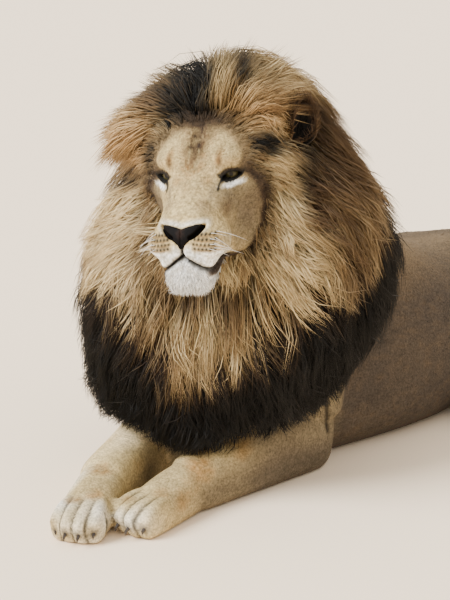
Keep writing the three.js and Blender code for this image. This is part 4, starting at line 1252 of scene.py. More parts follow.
@dataclass(frozen=True)
class BodySkin:
    """One skin over trunk, neck, legs, paws and tail.

    Attributes:
        grain: the voxel size of the joined skin.
        faces: how many triangles it is thinned to.
        coat: how deep the skin lies under the tips of its fur.
    """

    grain: float = 4.2
    faces: int = 186000
    coat: float = 1.5
    torso: Loft = Loft(
        (
            (30, -190, 280, 96, 80, 130), (12, -90, 240, 140, 210, 262),
            (4, 40, 200, 164, 306, 222), (0, 200, 170, 202, 336, 192),
            (0, 400, 150, 235, 314, 172), (0, 580, 150, 229, 272, 172),
            (0, 760, 180, 184, 228, 176), (0, 920, 210, 150, 176, 182),
            (0, 1040, 216, 116, 118, 140),
        ),
        box=0.84,
        sole=0.66,
        ends=(0.1, 0.1),
    )
    neck: Loft = Loft(
        (
            (92, -190, 730, 92, 80, 90), (74, -130, 690, 112, 100, 130),
            (48, -40, 600, 140, 130, 190), (22, 60, 480, 160, 150, 220),
            (4, 160, 370, 160, 140, 200),
        ),
        ends=(0.08, 0.08),
    )
    forelegs: tuple[Foreleg, ...] = (
        Foreleg((150, 74, 74), (126, -286), 5, (126, 60, 320)),
        Foreleg((-140, -58, 72), (-4, -408), 30, (-126, 10, 320)),
    )
    hindlegs: tuple[Hindleg, ...] = (Hindleg(1), Hindleg(-1, bearing=-8))
    tail: tuple[tuple[float, float, float], ...] = (
        (0, 950, 296), (6, 1090, 262), (20, 1184, 176), (40, 1256, 92), (110, 1330, 36),
        (220, 1350, 29), (330, 1310, 28), (410, 1220, 28), (446, 1110, 28), (450, 1010, 28),
    )

    def paws(self) -> list[Paw]:
        """The four paws."""
        made = [
            Paw(Place((*leg.wrist, 0), yaw=leg.bearing, scale=leg.paw_scale))
            for leg in self.forelegs
        ]
        for leg in self.hindlegs:
            x, y = leg.side * (leg.hock[0] + 14), leg.hock[1] - 190
            made.append(Paw(Place((x, y, 0), yaw=leg.bearing, scale=leg.paw_scale)))
        return made

    def limbs(self) -> list[Limb]:
        """Every lofted part under the skin."""
        parts = [Limb(self.torso, cuts=44), Limb(self.neck, cuts=30)]
        for leg in (*self.forelegs, *self.hindlegs):
            parts += leg.limbs()
        for paw in self.paws():
            parts += paw.limbs()
        share = np.linspace(0, 1, 12)
        line = spline(self.tail, share)
        thick = np.interp(share, [0, 0.34, 0.665, 1], [44, 30, 26, 20])
        rows = tuple((*at, r, r, min(r, at[2] + 1.5)) for at, r in zip(line.tolist(), thick.tolist()))
        parts.append(Limb(Loft(rows, ends=(0.05, 0.05)), cuts=36))
        return parts

    def mesh(self) -> Mesh:
        """Joins the parts into one closed skin."""
        shape = bmesh.new()
        for limb in self.limbs():
            limb.add_to(shape)
        thing = placed("body_rough", finished(shape, "body_rough"))
        melt = thing.modifiers.new("melt", "REMESH")
        melt.mode = "VOXEL"
        melt.voxel_size = self.grain
        ease = thing.modifiers.new("ease", "SMOOTH")
        ease.factor, ease.iterations = 0.5, 5
        joined = self.applied(thing)
        sides = 2 * len(joined.polygons)
        thing.modifiers.clear()
        thing.data = joined
        x, y, z = vertices(joined).T
        keep = thing.vertex_groups.new(name="thin")
        fine = (np.abs(y + 420) < 170) | ((z < 110) & (np.abs(x) > 200))
        for zone, weight in ((~fine, 1.0), (fine, 0.25)):
            keep.add(np.nonzero(zone)[0].tolist(), weight, "REPLACE")
        thin = thing.modifiers.new("thin", "DECIMATE")
        thin.ratio = min(1.0, self.faces / sides)
        thin.vertex_group = "thin"
        made = self.applied(thing)
        bpy.data.objects.remove(thing)
        return made

    def applied(self, thing: bpy.types.Object) -> Mesh:
        """A new mesh with an object's modifiers applied."""
        graph = bpy.context.evaluated_depsgraph_get()
        graph.update()
        return bpy.data.meshes.new_from_object(thing.evaluated_get(graph))


# The fold of loose skin in front of the left elbow, sunk and darkened as painted shade.
FOLD = ((206, 50, 176), (207, 54, 140), (206, 60, 92))


class Body:
    """The trunk, legs and tail, dressed in one skin."""

    FLESH = (
        "torso", "neck", "foreleg_left", "foreleg_right", "forepaw_left", "forepaw_right",
        "hindleg_left", "hindleg_right", "hindpaw_left", "hindpaw_right",
        "tail_base", "tail_middle", "tail_end",
    )

    def __init__(self, form: BodySkin) -> None:
        """Makes the skin's mesh, drawn in by the depth of its coat."""
        self.form = form
        self.skin = form.mesh()
        self.points = vertices(self.skin)
        self.normals = vertices(self.skin, "normal")
        self.points = self.points - self.normals * form.coat
        self.points[:, 2] = np.maximum(self.points[:, 2], 0.4)
        self.faces = triangles(self.skin)
        self.clefts = np.max([paw.seams(self.points) for paw in form.paws()], axis=0)
        self.clefts = np.maximum(self.clefts, bell(near_line(self.points, FOLD), 7))
        self.sheaths = np.max([paw.sheaths(self.points) for paw in form.paws()], axis=0)
        self.points -= self.normals * (2.0 * self.clefts)[:, None]

    def build(self) -> None:
        """Colours the skin, with painted shade in its clefts, and lets it stand for the flesh."""
        colours = body_paint(self.points)
        # Painted shade in the clefts between the toes and in the fold of skin before the left elbow.
        colours *= 1 - 0.8 * np.clip(self.clefts * 1.2, 0, 1)[:, None]
        colours = mix(colours, Tone.UMBER.colour, 0.8 * self.sheaths[:, None])
        paint_mesh(self.skin, colours)
        set_vertices(self.skin, self.points * MM)
        Piece("body_skin", self.skin, SHORT_FUR, "coat_fur").stands_for(*self.FLESH)

    def claws(self) -> None:
        """Gives the carried claws their horn."""
        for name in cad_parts:
            if "_claw_" in name:
                thing = bpy.data.objects[name]
                thing.data.materials.clear()
                thing.data.materials.append(CLAW_HORN.material())


# ---- short fur


class Lie:
    """Which way the short coat lies on the body, and where each place falls on its unwrap."""

    def __init__(self, limbs: Sequence[Limb]) -> None:
        """Samples the middle line of every limb."""
        self.limbs = limbs
        rows = [limb.line(14) for limb in limbs]
        self.points = np.concatenate([row[0] for row in rows])
        self.ways = np.concatenate([row[1] for row in rows])
        self.owner = np.repeat(np.arange(len(limbs)), 14)
        self.share = np.tile(np.linspace(0, 1, 14), len(limbs))
        self.thick = np.array([max(row[3] for row in limb.loft.stations) for limb in limbs])[self.owner]

    def nearest(self, points: Array) -> Array:
        """The line sample that each point belongs to."""
        found = np.empty(len(points), int)
        for start in range(0, len(points), 4000):
            part = points[start : start + 4000]
            gap = np.linalg.norm(part[:, None] - self.points[None], axis=2) / (30 + self.thick)
            found[start : start + 4000] = np.argmin(gap, axis=1)
        return found

    def flow(self, points: Array) -> Array:
        """The way the coat lies at each point."""
        found = self.nearest(points)
        way = self.ways[found].copy()
        trunk = self.thick[found] > 120
        way[:, 2] -= np.where(trunk, 0.45, 0.12)
        return unit(way)

    def chart(self, points: Array) -> Array:
        """Places on an unwrap: one cell for each limb, along it and round it."""
        found = self.nearest(points)
        along, away = self.ways[found], points - self.points[found]
        side = unit(np.cross(along, UP + 1e-3))
        lift = np.cross(side, along)
        angle = np.arctan2(dots(away, lift), dots(away, side))[:, 0] / (2 * math.pi) + 0.5
        shift = dots(away, along)[:, 0] / 400
        column, row = self.owner[found] % 6, self.owner[found] // 6
        u = (column + 0.06 + 0.88 * angle) / 6
        v = (row + 0.06 + 0.88 * np.clip(self.share[found] + shift, 0, 1)) / 6
        return rows_of(u, v)


@dataclass(frozen=True)
class ShortCoat:
    """Fine tufts of short hair over a skin.

    Attributes:
        name: the piece's name.
        slot: the material slot of its finish; it is not used.
        count: how many tufts.
        width: half the width of a tuft in millimetres.
        lift: how steeply the tufts stand, as a share of their length.
        seed: the start of its random numbers.
    """

    name: str
    slot: str
    count: int
    width: float
    lift: float
    seed: int
    rings: int = 2
    sink: float = 1.2
    stray: float = 0.22
    finish: Finish = GUARD_HAIR

    def grow(
        self,
        skin: tuple[Array, Array, Array],
        weight: Array,
        length: Callable[[Array], Array],
        flow: Callable[[Array], Array],
        paint: Callable[[Array], Array],
        chart: Callable[[Array], Array],
        place: Place | None = None,
    ) -> Piece:
        """Grows the tufts.

        Args:
            skin: the skin's points, normals and triangles.
            weight: how densely each of its points is covered.
            length: gives the tufts' lengths at places.
            flow: gives the way that they lie.
            paint: gives their colours.
            chart: gives their places on the skin's unwrap.
            place: the skin's own frame, or nothing for the world's.

        Returns:
            The finished piece.
        """
        rng = np.random.default_rng(self.seed)
        points, normals, faces = skin
        picked, shares = scatter(points, faces, weight, self.count, rng)
        roots = at_places(points, faces, picked, shares)
        out = unit(at_places(normals, faces, picked, shares))
        way = turned(pressed(flow(roots), out), out, rng.normal(0, self.stray, self.count))
        size = length(roots) * rng.uniform(0.7, 1.2, self.count)
        tuft = Tuft(self.rings)
        share = np.linspace(0, 1, self.rings + 1)[None, :, None]
        rise = self.lift * rng.uniform(0.6, 1.4, self.count)[:, None, None]
        step = size[:, None, None] * share
        height = self.sink * (share - 1) + rise * step * (1 - 0.45 * share)
        paths = roots[:, None] + way[:, None] * step + out[:, None] * height
        taper = np.linspace(1, 0.45, self.rings).tolist() + [0.0]
        widths = self.width * rng.uniform(0.75, 1.3, self.count)
        corners = tuft.sweep(paths, out, widths, taper, 0.5)
        colours = paint(roots)
        tint = rng.normal(1, 0.26, self.count).clip(0.4, 1.6)[:, None]
        if place is not None:
            corners = place.world(corners)
        corners[..., 2] = np.maximum(corners[..., 2], 0.3)
        # Darker at the root as painted shade in the coat, lighter at the tip as painted light.
        shades = rows_of(colours * tint * 0.88, np.clip(colours * tint * 1.12, 0, 1))
        mesh = tuft.mesh(self.name, corners, shades, chart(roots))
        return Piece(self.name, mesh, self.finish, self.slot)


def body_length(points: Array) -> Array:
    """How long the short coat is, in millimetres."""
    _, y, z = points.T
    return 6.0 + 5.0 * smooth(z, 60, 160) + 3.0 * smooth(y, 100, 300)


# How far back the hair of the mane begins beside the face, by height.
HAIRLINE = ((-200, -10), (-150, 18), (-110, 38), (-70, 42), (-30, 22), (20, 2))


def past_hairline(points: Array) -> Array:
    """How far behind the hairline places on the head are, in millimetres."""
    x, y, z = points.T
    over = 38 * (1 - (x / 96) ** 2)
    beside = read_off(HAIRLINE, z) - 18 * smooth(-x, 0, 60) - 12 * smooth(x, 0, 60)
    return y - mix(beside, over, smooth(z, 10, 44))


def face_flow(points: Array) -> Array:
    """The way the face's hair lies, back from the nose."""
    _, y, z = points.T
    way = unit(points - np.array([0.0, -150.0, -50.0]))
    way[:, 2] -= 0.35 * smooth(-z, 20, 90) * smooth(-y, -60, 40)
    return unit(way)


def face_length(points: Array) -> Array:
    """How long the face's hair is, in millimetres."""
    return 3.6 + 4.5 * smooth(points[:, 1], -130, -20) + 12 * smooth(past_hairline(points), -20, 30)


def face_chart(points: Array) -> Array:
    """An unwrap of the head: round its long axis and along it."""
    x, y, z = points.T
    angle = np.arctan2(z + 20, x) / (2 * math.pi)
    return rows_of(0.5 + 0.96 * angle, np.clip((y + 190) / 440, 0.01, 0.99))


def face_cover(points: Array) -> Array:
    """How densely the face is covered with fine tufts: none on the nose, eyes and lips."""
    x, y, z = points.T
    cover = (1.0 - smooth(y, 90, 130)) * (inside_nose(x, z) < -3)
    cover *= 1 - bell(z - read_off(LIPS, np.abs(x)), 5) * smooth(-y, 40, 80)
    for turn, eye in EYES.items():
        local = eye.local(points)
        cover *= (lid_gap(local, turn) > 4.5) | (local[:, 1] > 10)
    return cover


# ---- mane


@dataclass
class ManeForm:
    """The mane as a form round an upright line, out to the hair's tips.

    Attributes:
        stations: rows of x, y, z, the reach to the sides, front and back, and a turn in degrees.
        crown: its top.
        hem: its foot.
        dome: the height over which the crown rounds off.
        depth: how deep the roots lie under the tips.
    """

    stations: tuple[tuple[float, ...], ...] = (
        (0, -104, 60, 200, 214, 110, 0), (0, -96, 130, 238, 240, 150, 0),
        (0, -80, 210, 290, 268, 216, 0), (12, -62, 300, 330, 304, 310, 0),
        (26, -50, 400, 342, 318, 364, 8), (45, -52, 500, 338, 312, 384, 14),
        (82, -94, 600, 306, 206, 330, 22), (98, -108, 700, 262, 168, 266, 30),
        (94, -145, 800, 228, 136, 212, 31), (94, -142, 870, 200, 126, 190, 31),
        (98, -140, 940, 180, 110, 180, 31),
    )
    crown: float = 955
    hem: float = 40
    dome: float = 170
    depth: float = 50
    rows: Array = field(init=False)

    def __post_init__(self) -> None:
        """Works out the form at many heights."""
        self.rows = spline(self.stations, np.linspace(0, 1, 61))

    def section(self, height: Array) -> list[Array]:
        """The centre, the reaches and the turn at heights."""
        *sizes, turn = (np.interp(height, self.rows[:, 2], self.rows[:, k]) for k in (0, 1, 3, 4, 5, 6))
        return [*sizes, np.radians(turn)]

    def radius(self, bearing: Array, side: Array, front: Array, back: Array) -> Array:
        """How far out the form reaches at bearings, from its reaches there."""
        reach = np.where(np.sin(bearing) > 0, front, back)
        return 1 / np.hypot(np.cos(bearing) / side, np.sin(bearing) / reach)

    def excess(self, points: Array) -> tuple[Array, Array]:
        """How far outside the form points are, as a share of its radius, and their bearings."""
        x, y, side, front, back, turn = self.section(points[:, 2])
        dx, dy = points[:, 0] - x, points[:, 1] - y
        across = dx * np.cos(turn) + dy * np.sin(turn)
        ahead = dx * np.sin(turn) - dy * np.cos(turn)
        bearing = np.arctan2(ahead, across)
        radius = self.radius(bearing, side, front, back)
        dome = np.maximum(0, 1 - (self.crown - points[:, 2]) / self.dome)
        return np.hypot(np.hypot(across, ahead) / radius, dome) - 1, bearing

    def slope(self, points: Array) -> Array:
        """The gradient of the excess."""
        here = self.excess(points)[0]
        steps = np.eye(3) * 2.0
        return np.stack([(self.excess(points + step)[0] - here) / 2.0 for step in steps], axis=1)

    def settle(self, points: Array, depth: Array) -> tuple[Array, Array]:
        """Moves points along the form's normal to a depth under its tips, and gives the normals."""
        slope = self.slope(points)
        steep = np.maximum(np.linalg.norm(slope, axis=1), 1e-4)
        out = slope / steep[:, None]
        shift = np.clip(-depth - self.excess(points)[0] / steep, -60, 60)
        return points + out * shift[:, None], out

    def root_depth(self, height: Array, bearing: Array) -> Array:
        """How deep the roots lie: less round the face, where the hair is shorter."""
        face = smooth(np.sin(bearing), 0.2, 0.9) * smooth(height, 560, 660)
        return self.depth * (1 - 0.62 * face)

    def spot(self, height: Array, bearing: Array, depth: Array) -> Array:
        """Places at heights and bearings, at some depth under the tips."""
        x, y, side, front, back, turn = self.section(height)
        radius = self.radius(bearing, side, front, back)
        near = np.minimum(np.minimum((self.crown - height) / self.dome, (height - self.hem) / 60), 1)
        full = rounded(near)
        out = np.maximum(radius * full - depth, 0)
        x, y = x + out * np.cos(bearing - turn), y - out * np.sin(bearing - turn)
        return rows_of(x, y, height)


FORWARD = HEAD.way(np.array([0.0, -1.0, 0.0]))
SIDEWAYS = HEAD.way(np.array([1.0, 0.0, 0.0]))


def mane_lie(points: Array) -> Array:
    """The way the mane lies: away from the face and down, parted over the crown."""
    x, y, z = HEAD.local(points).T
    away = HEAD.way(unit(rows_of(x, np.zeros(len(x)), z + 20)))
    crown = smooth(z, 30, 110)[:, None]
    near = (1 - smooth(y, 60, 320))[:, None]
    fall = -UP + away * (0.1 + 0.4 * near) + FORWARD * (-0.12 - 0.2 * near)
    part = away * 0.35 + SIDEWAYS * np.clip(x / 45, -0.9, 0.9)[:, None] - FORWARD * 0.45
    return unit(mix(fall, part, crown))


# Down to what height the mane is gold, by bearing in degrees from the animal's left towards its front.
GOLD_FOOT = (
    (-180, 470), (-150, 560), (-110, 700), (-60, 700), (-25, 620), (-5, 560), (8, 455), (20, 429),
    (27, 372), (43, 315), (53, 262), (62, 236), (77, 292), (94, 366), (112, 398), (128, 405),
    (155, 420), (180, 470),
)
# The height of the mane's lower edge, by the same bearings.
HEM = (
    (-180, 200), (-150, 250), (-90, 300), (-40, 250), (-12, 215), (9, 200), (31, 186), (45, 172),
    (52, 146), (59, 124), (67, 130), (77, 160), (96, 168), (111, 164), (140, 190), (180, 200),
)
# The frame that the mane's markings and painted shade are laid out in, seen from far off along its -Y.
MARKS_AND_SHADE = Place((177, -312, 706), yaw=44.1, nod=-9.6)
MARKS_AND_SHADE_FROM = 2677.0
HOLLOWS = ((202.0, 76.0, 22.0, 46.0, 220.0), (-158.0, -10.0, 36.0, 11.0, 400.0))


def marks_and_shade_place(points: Array) -> tuple[Array, Array]:
    """Where points fall across and up the plane of the markings and painted shade, and how far behind it
    they are.
    """
    x, y, z = MARKS_AND_SHADE.local(points).T
    return np.array([x, z]) * (MARKS_AND_SHADE_FROM / (MARKS_AND_SHADE_FROM + y)), y


def in_hollow(points: Array) -> Array:
    """How far inside the hollows round the left ear and under the right lobe points are, up to 1."""
    (x, z), depth = marks_and_shade_place(points)
    inside = np.full(len(points), -1.0)
    for across, up, wide, tall, reach in HOLLOWS:
        away = np.hypot((x - across) / wide, (z - up) / tall)
        inside = np.maximum(inside, np.where(depth < reach, 1 - away, -1.0))
    return inside


@dataclass(frozen=True)
class Dab:
    """A soft patch of colour on the mane, laid on flat in the frame of its markings; some dabs are markings,
    some painted shade.
    """

    across: float
    up: float
    wide: float
    tall: float
    tone: Tone
    weight: float

    def cover(self, flat: Array, ragged: Array) -> Array:
        """How strongly it covers places, from 0 to 1."""
        away = np.hypot((flat[0] - self.across) / self.wide, (flat[1] - self.up) / self.tall)
        return self.weight * np.clip(1.5 - away + 0.3 * ragged, 0, 1)


# Soft patches on the mane: across, up, wide, tall, tone and weight. Most are the mane's own colours; the
# dark ones under the forelock, round the left ear, along the face's edges, under the chin and under the
# right lobe are painted shade.
DABS = (
    Dab(-180, -118, 84, 160, Tone.STRAW, 0.9),
    Dab(-153, 62, 65, 69, Tone.RUST, 0.4),
    Dab(-164, 104, 31, 31, Tone.STRAW, 0.4),
    Dab(174, -72, 57, 119, Tone.STRAW, 0.55),
    Dab(193, -225, 84, 92, Tone.STRAW, 0.35),
    Dab(-92, 143, 42, 31, Tone.BROWN, 0.65),
    Dab(-14, 190, 60, 38, Tone.BLACK, 0.97),
    Dab(-30, 146, 46, 28, Tone.BLACK, 0.85),
    Dab(-8, 106, 60, 32, Tone.BLACK, 1.0),
    Dab(86, 208, 22, 34, Tone.BLACK, 0.85),
    Dab(48, 165, 19, 76, Tone.GOLD, 0.9),
    Dab(60, 120, 30, 40, Tone.AMBER, 0.6),
    Dab(121, 208, 17, 46, Tone.GOLD, 0.6),
    Dab(130, 118, 54, 46, Tone.RUST, 0.35),
    # Painted shadow under the forelock over the left ear.
    Dab(132, 54, 46, 18, Tone.BLACK, 0.95),
    # Painted shade in the gap round the left ear and in the dark line below it.
    Dab(231, 56, 17, 74, Tone.BLACK, 1.0),
    Dab(210, 131, 25, 15, Tone.UMBER, 0.9),
    Dab(214, 0, 22, 50, Tone.BLACK, 0.9),
    Dab(229, -53, 17, 57, Tone.BROWN, 0.85),
    Dab(290, -10, 60, 128, Tone.BROWN, 0.8),
    Dab(276, 98, 46, 54, Tone.BROWN, 0.75),
    Dab(308, -172, 31, 76, Tone.BROWN, 0.5),
    # Painted shade along the edges of the face where it meets the mane, and under the chin.
    Dab(-91, 30, 11, 33, Tone.BLACK, 0.9),
    Dab(-99, -52, 11, 80, Tone.BROWN, 0.6),
    Dab(122, -79, 10, 50, Tone.UMBER, 0.85),
    Dab(99, -140, 13, 34, Tone.UMBER, 0.9),
    Dab(13, -247, 80, 19, Tone.UMBER, 0.8),
    Dab(-75, -218, 27, 27, Tone.BROWN, 0.6),
    # Painted shadow under the overhanging right lobe.
    Dab(-156, -12, 42, 15, Tone.UMBER, 0.95),
)


def hem_height(bearing: Array) -> Array:
    """The height of the mane's lower edge at bearings in radians."""
    return read_off(HEM, np.degrees(bearing))


def above_foot(points: Array, form: ManeForm) -> Array:
    """How far above the foot of the gold places in the mane are, in millimetres."""
    return points[:, 2] - read_off(GOLD_FOOT, np.degrees(form.excess(points)[1]))


@dataclass(frozen=True)
class Strands:
    """Many strands of long hair, ready to be made into meshes."""

    paths: Array
    out: Array
    widths: Array
    shades: Array
    gold: Array
    spots: Array

    @staticmethod
    def joined(parts: Sequence["Strands"]) -> "Strands":
        """All the strands of several sets."""
        return Strands(*(np.concatenate(values) for values in zip(*(vars(part).values() for part in parts))))

    def kept(self, chosen: Array) -> "Strands":
        """Only the chosen strands."""
        return Strands(*(values[chosen] for values in vars(self).values()))


@dataclass(frozen=True)
class Mane:
    """The mane: an undercoat and long strands gathered into pointed clumps.

    Attributes:
        form: the shape it fills.
        clumps: how many clumps grow from the body of the mane.
        each: how many strands a clump has.
        rings: the rings of one strand.
        length: the hair's usual length in millimetres.
        most: the most triangles that one piece may have.
    """

    form: ManeForm = field(default_factory=ManeForm)
    clumps: int = 3150
    each: int = 15
    rings: int = 3
    length: float = 176
    width: float = 1.22
    most: int = 195000
    seed: int = 20

    def drop(self, points: Array) -> Array:
        """How far the hair of the crest and the left cheek lies inside the form, in millimetres."""
        x, _, z = HEAD.local(points).T
        crest = smooth(z, 60, 150) * mix(10.0, 40.0, smooth(-x, -40, 40))
        return crest + 18 * smooth(z, -80, 40) * smooth(x, 60, 170)

    def undercoat(self) -> Mesh:
        """The dense hair under the strands, as one soft shape."""
        form = self.form
        mesh = finished(ball(52), "mane_undercoat")
        ways = unit(vertices(mesh))
        share = (1 + ways[:, 2]) / 2
        close = rounded(np.minimum(np.minimum(share / 0.08, (1 - share) / 0.05), 1))[:, None]
        bearing = np.arctan2(-ways[:, 1], ways[:, 0])
        foot = mix(160.0, hem_height(bearing) + 28, close[:, 0])
        height = mix(foot, form.crown - form.depth, share)
        full = form.spot(height, bearing, form.root_depth(height, bearing) + 4)
        middle = rows_of(*form.section(height)[:2], height)
        points = mix(middle, full, close)
        points -= unit(form.slope(points)) * self.drop(points)[:, None]
        sunk = 70 * smooth(in_hollow(points), -0.35, 0.1)
        points += MARKS_AND_SHADE.way(np.array([0.0, 1.0, 0.0])) * sunk[:, None]
        set_vertices(mesh, points)
        return mesh

    def tone(self, places: Array, clump: Array, foot: Array, rng: Rng) -> tuple[Array, Array]:
        """Colours at places in the mane, painted shade among them, and how gold they are.

        Args:
            places: where the hair is seen, in millimetres.
            clump: a number from -1 to 1 for the clump of each place.
            foot: how far above the foot of the gold each strand is seen.
            rng: the stream of random numbers.

        Returns:
            The colours, and the gold share.
        """
        count = len(places)
        _, y, z = HEAD.local(places).T
        broad, fine = grain(places, 62, 31), grain(places, 22, 32)
        above = foot + 26 * broad + 20 * clump
        gold = smooth(above, -22, 26)
        paint = Paint(count, Tone.GOLD)
        lay = paint.lay
        lay(Tone.STRAW, 0.45 + 0.45 * clump + 0.3 * fine)
        lay(Tone.AMBER, np.clip(0.1 - 0.55 * clump - 0.45 * broad, 0, 0.85))
        lay(Tone.BROWN, np.clip(-0.15 - 0.7 * clump - 0.6 * fine, 0, 0.85))
        ruff = (1 - smooth(y, 60, 190)) * smooth(-z, -40, 60) * (1 - smooth(-z, 260, 420))
        lay(Tone.CREAM, 0.35 * ruff * np.clip(0.7 + clump, 0, 1))
        lay(Tone.BROWN, 0.6 * (1 - smooth(above, 10, 120)) * np.clip(0.7 - 0.6 * clump, 0, 1))
        lay(Tone.BROWN, 0.55 * smooth(y, 240, 420))
        dark = np.zeros(count)
        flat, depth = marks_and_shade_place(places)
        for dab in DABS:
            cover = dab.cover(flat, clump + 0.5 * fine) * (1 - smooth(depth, 440, 540))
            lay(dab.tone, np.clip(cover * (1.05 + 0.3 * clump), 0, 1))
            # Dark dabs, the painted shade among them, move their strands to the black pieces.
            if dab.tone in (Tone.UMBER, Tone.BLACK):
                dark = np.maximum(dark, cover)
        lay(Tone.UMBER, 1 - smooth(above, -30, 22))
        lay(Tone.BLACK, 1 - smooth(above, -90, -6))
        paint.shade(1 + 0.1 * rng.normal(0, 1, count).clip(-2, 2))
        return paint.values, gold * (1 - 0.6 * dark)

    def gathered(self, own: Array, guide: Array, pull: Array, rng: Rng) -> Array:
        """Draws strands in towards their clump's own path, more towards the tips, with a wave."""
        steps = own.shape[1]
        share = np.linspace(0, 1, steps)[None, :, None]
        paths = own + (guide - own) * (pull[:, None, None] * share**1.3)
        phase = rng.uniform(0, 2 * math.pi, (len(own), 1, 1))
        wave = rng.normal(0, 1, (len(own), 1, 3)) * 4.4
        return paths + wave * np.sin(phase + share * 5.0) * share

    def trace(self, points: Array, length: Array, lean: Array, tips: Array) -> tuple[Array, Array]:
        """Follows the lie of the hair from roots out to the tips.

        Args:
            points: the roots.
            length: each strand's length.
            lean: how far each turns aside from the lie, in radians.
            tips: the depth that each tip comes out to.

        Returns:
            The paths, and the outward direction at their middle.
        """
        steps = self.rings
        place = points.copy()
        depth = self.form.root_depth(place[:, 2], self.form.excess(place)[1]) + 10 + self.drop(place)
        paths, facing = [], UP
        for step in range(steps + 1):
            share = step / steps
            rise = 1 - (1 - share) ** 1.6
            settled, out = self.form.settle(place, mix(depth, tips, rise))
            place = np.where(place[:, 2:] > 110, settled, place)
            if step == steps // 2:
                facing = out
            paths.append(place.copy())
            way = turned(pressed(mane_lie(place), out), out, lean * (0.4 + 1.2 * share))
            place = place + way * (length / steps)[:, None]
        return np.stack(paths, axis=1), facing

    def allowed(self, points: Array) -> Array:
        """Which roots grow long hair: not those on the face or over the ears."""
        x, y, z = HEAD.local(points).T
        face = (y < np.where(z > 20, 70, 30)) & (z > -190)
        ear = (np.abs(x) > 60) & (y < 160) & (z > 10) & (z < 128)
        return ~(face | ear)

    def body(self) -> Strands:
        """The clumps that grow from the body of the mane."""
        rng = np.random.default_rng(self.seed)
        core = self.undercoat()
        points, faces = vertices(core), triangles(core)
        bpy.data.meshes.remove(core)
        edge = hem_height(self.form.excess(points)[1])
        low = (1 + 0.5 * (1 - smooth(points[:, 2], 160, 300))) * (points[:, 2] > edge + 18)
        picked, shares = scatter(points, faces, low, self.clumps, rng)
        roots = at_places(points, faces, picked, shares)
        roots = roots[self.allowed(roots)]
        count = len(roots)
        edge = hem_height(self.form.excess(roots)[1])
        _, y, z = HEAD.local(roots).T
        near_face = (1 - smooth(y, 60, 200)) * smooth(z, -260, -120)
        usual = self.length * (1 - 0.35 * near_face) * rng.uniform(0.8, 1.15, count)
        length = np.minimum(usual, np.maximum(roots[:, 2] - edge + rng.normal(0, 9, count), 42))
        lean = 0.4 * grain(roots, 100, 41) + 0.25 * grain(roots, 38, 42) + rng.normal(0, 0.12, count)
        proud = rng.random(count) < 0.3
        tips = rng.uniform(-6, 14, count) - np.where(proud, rng.uniform(4, 18, count), 0)
        tips += self.drop(roots)
        guides, out = self.trace(roots, length, lean, tips)
        bow = np.cross(unit(guides[:, -1] - guides[:, 0]), out) * rng.normal(0, 10, (count, 1))
        bow = bow[:, None] * np.sin(np.linspace(0, 1.25 * math.pi, self.rings + 1))[None, :, None]
        guides = guides + bow
        pick = np.repeat(np.arange(count), self.each)
        total = len(pick)
        facing = unit(self.form.slope(roots))[pick]
        own_roots = roots[pick] + strewn(facing, rng) * 19
        length_each = length[pick] * rng.uniform(0.68, 1.08, total)
        stray = rng.random(total) < 0.07
        own_tips = tips[pick] + rng.exponential(8, total) - np.where(stray, rng.uniform(6, 18, total), 0)
        lean_each = lean[pick] + rng.normal(0, 0.11, total) * np.where(stray, 3.0, 1.0)
        paths, out = self.trace(own_roots, length_each, lean_each, own_tips)
        paths = paths + bow[pick]
        pull = np.where(proud, rng.uniform(0.7, 0.95, count), rng.uniform(0.2, 0.75, count))[pick]
        pull = np.where(stray, 0.0, np.clip(pull * rng.uniform(0.6, 1.15, total), 0, 0.93))
        paths = self.gathered(paths, guides[pick], pull, rng)
        return self.coloured(paths, out, pick, rng)

    def coloured(self, paths: Array, out: Array, pick: Array, rng: Rng) -> Strands:
        """Colours paths by clump and gives them their widths and their places on the unwrap."""
        clump = rng.uniform(-1, 1, pick[-1] + 1)[pick] * 0.9 + rng.uniform(-0.22, 0.22, len(pick))
        paths = paths.copy()
        paths[..., 2] = np.maximum(paths[..., 2], 4.0)
        foot = above_foot(mix(paths[:, -2], paths[:, -1], 0.4), self.form)
        shades = []
        for step in range(paths.shape[1]):
            colours, gold = self.tone(paths[:, step], clump, foot, rng)
            # Darker at the root as painted shade under the hair above it, lighter at the tip as painted
            # light.
            light = np.interp(step / (paths.shape[1] - 1), [0, 0.34, 0.67, 1], [0.55, 0.8, 1.0, 1.1])
            shades.append(np.clip(colours * light, 0, 1))
        widths = self.width * rng.uniform(0.7, 1.35, len(paths))
        bearing = self.form.excess(paths[:, 0])[1]
        chart = rows_of(0.5 + 0.96 * bearing / (2 * math.pi), (paths[:, 0, 2] - 30) / 960)
        chart = np.clip(chart, 0.005, 0.995)
        return Strands(paths, out, widths, np.stack(shades, axis=1), gold > 0.5, chart)

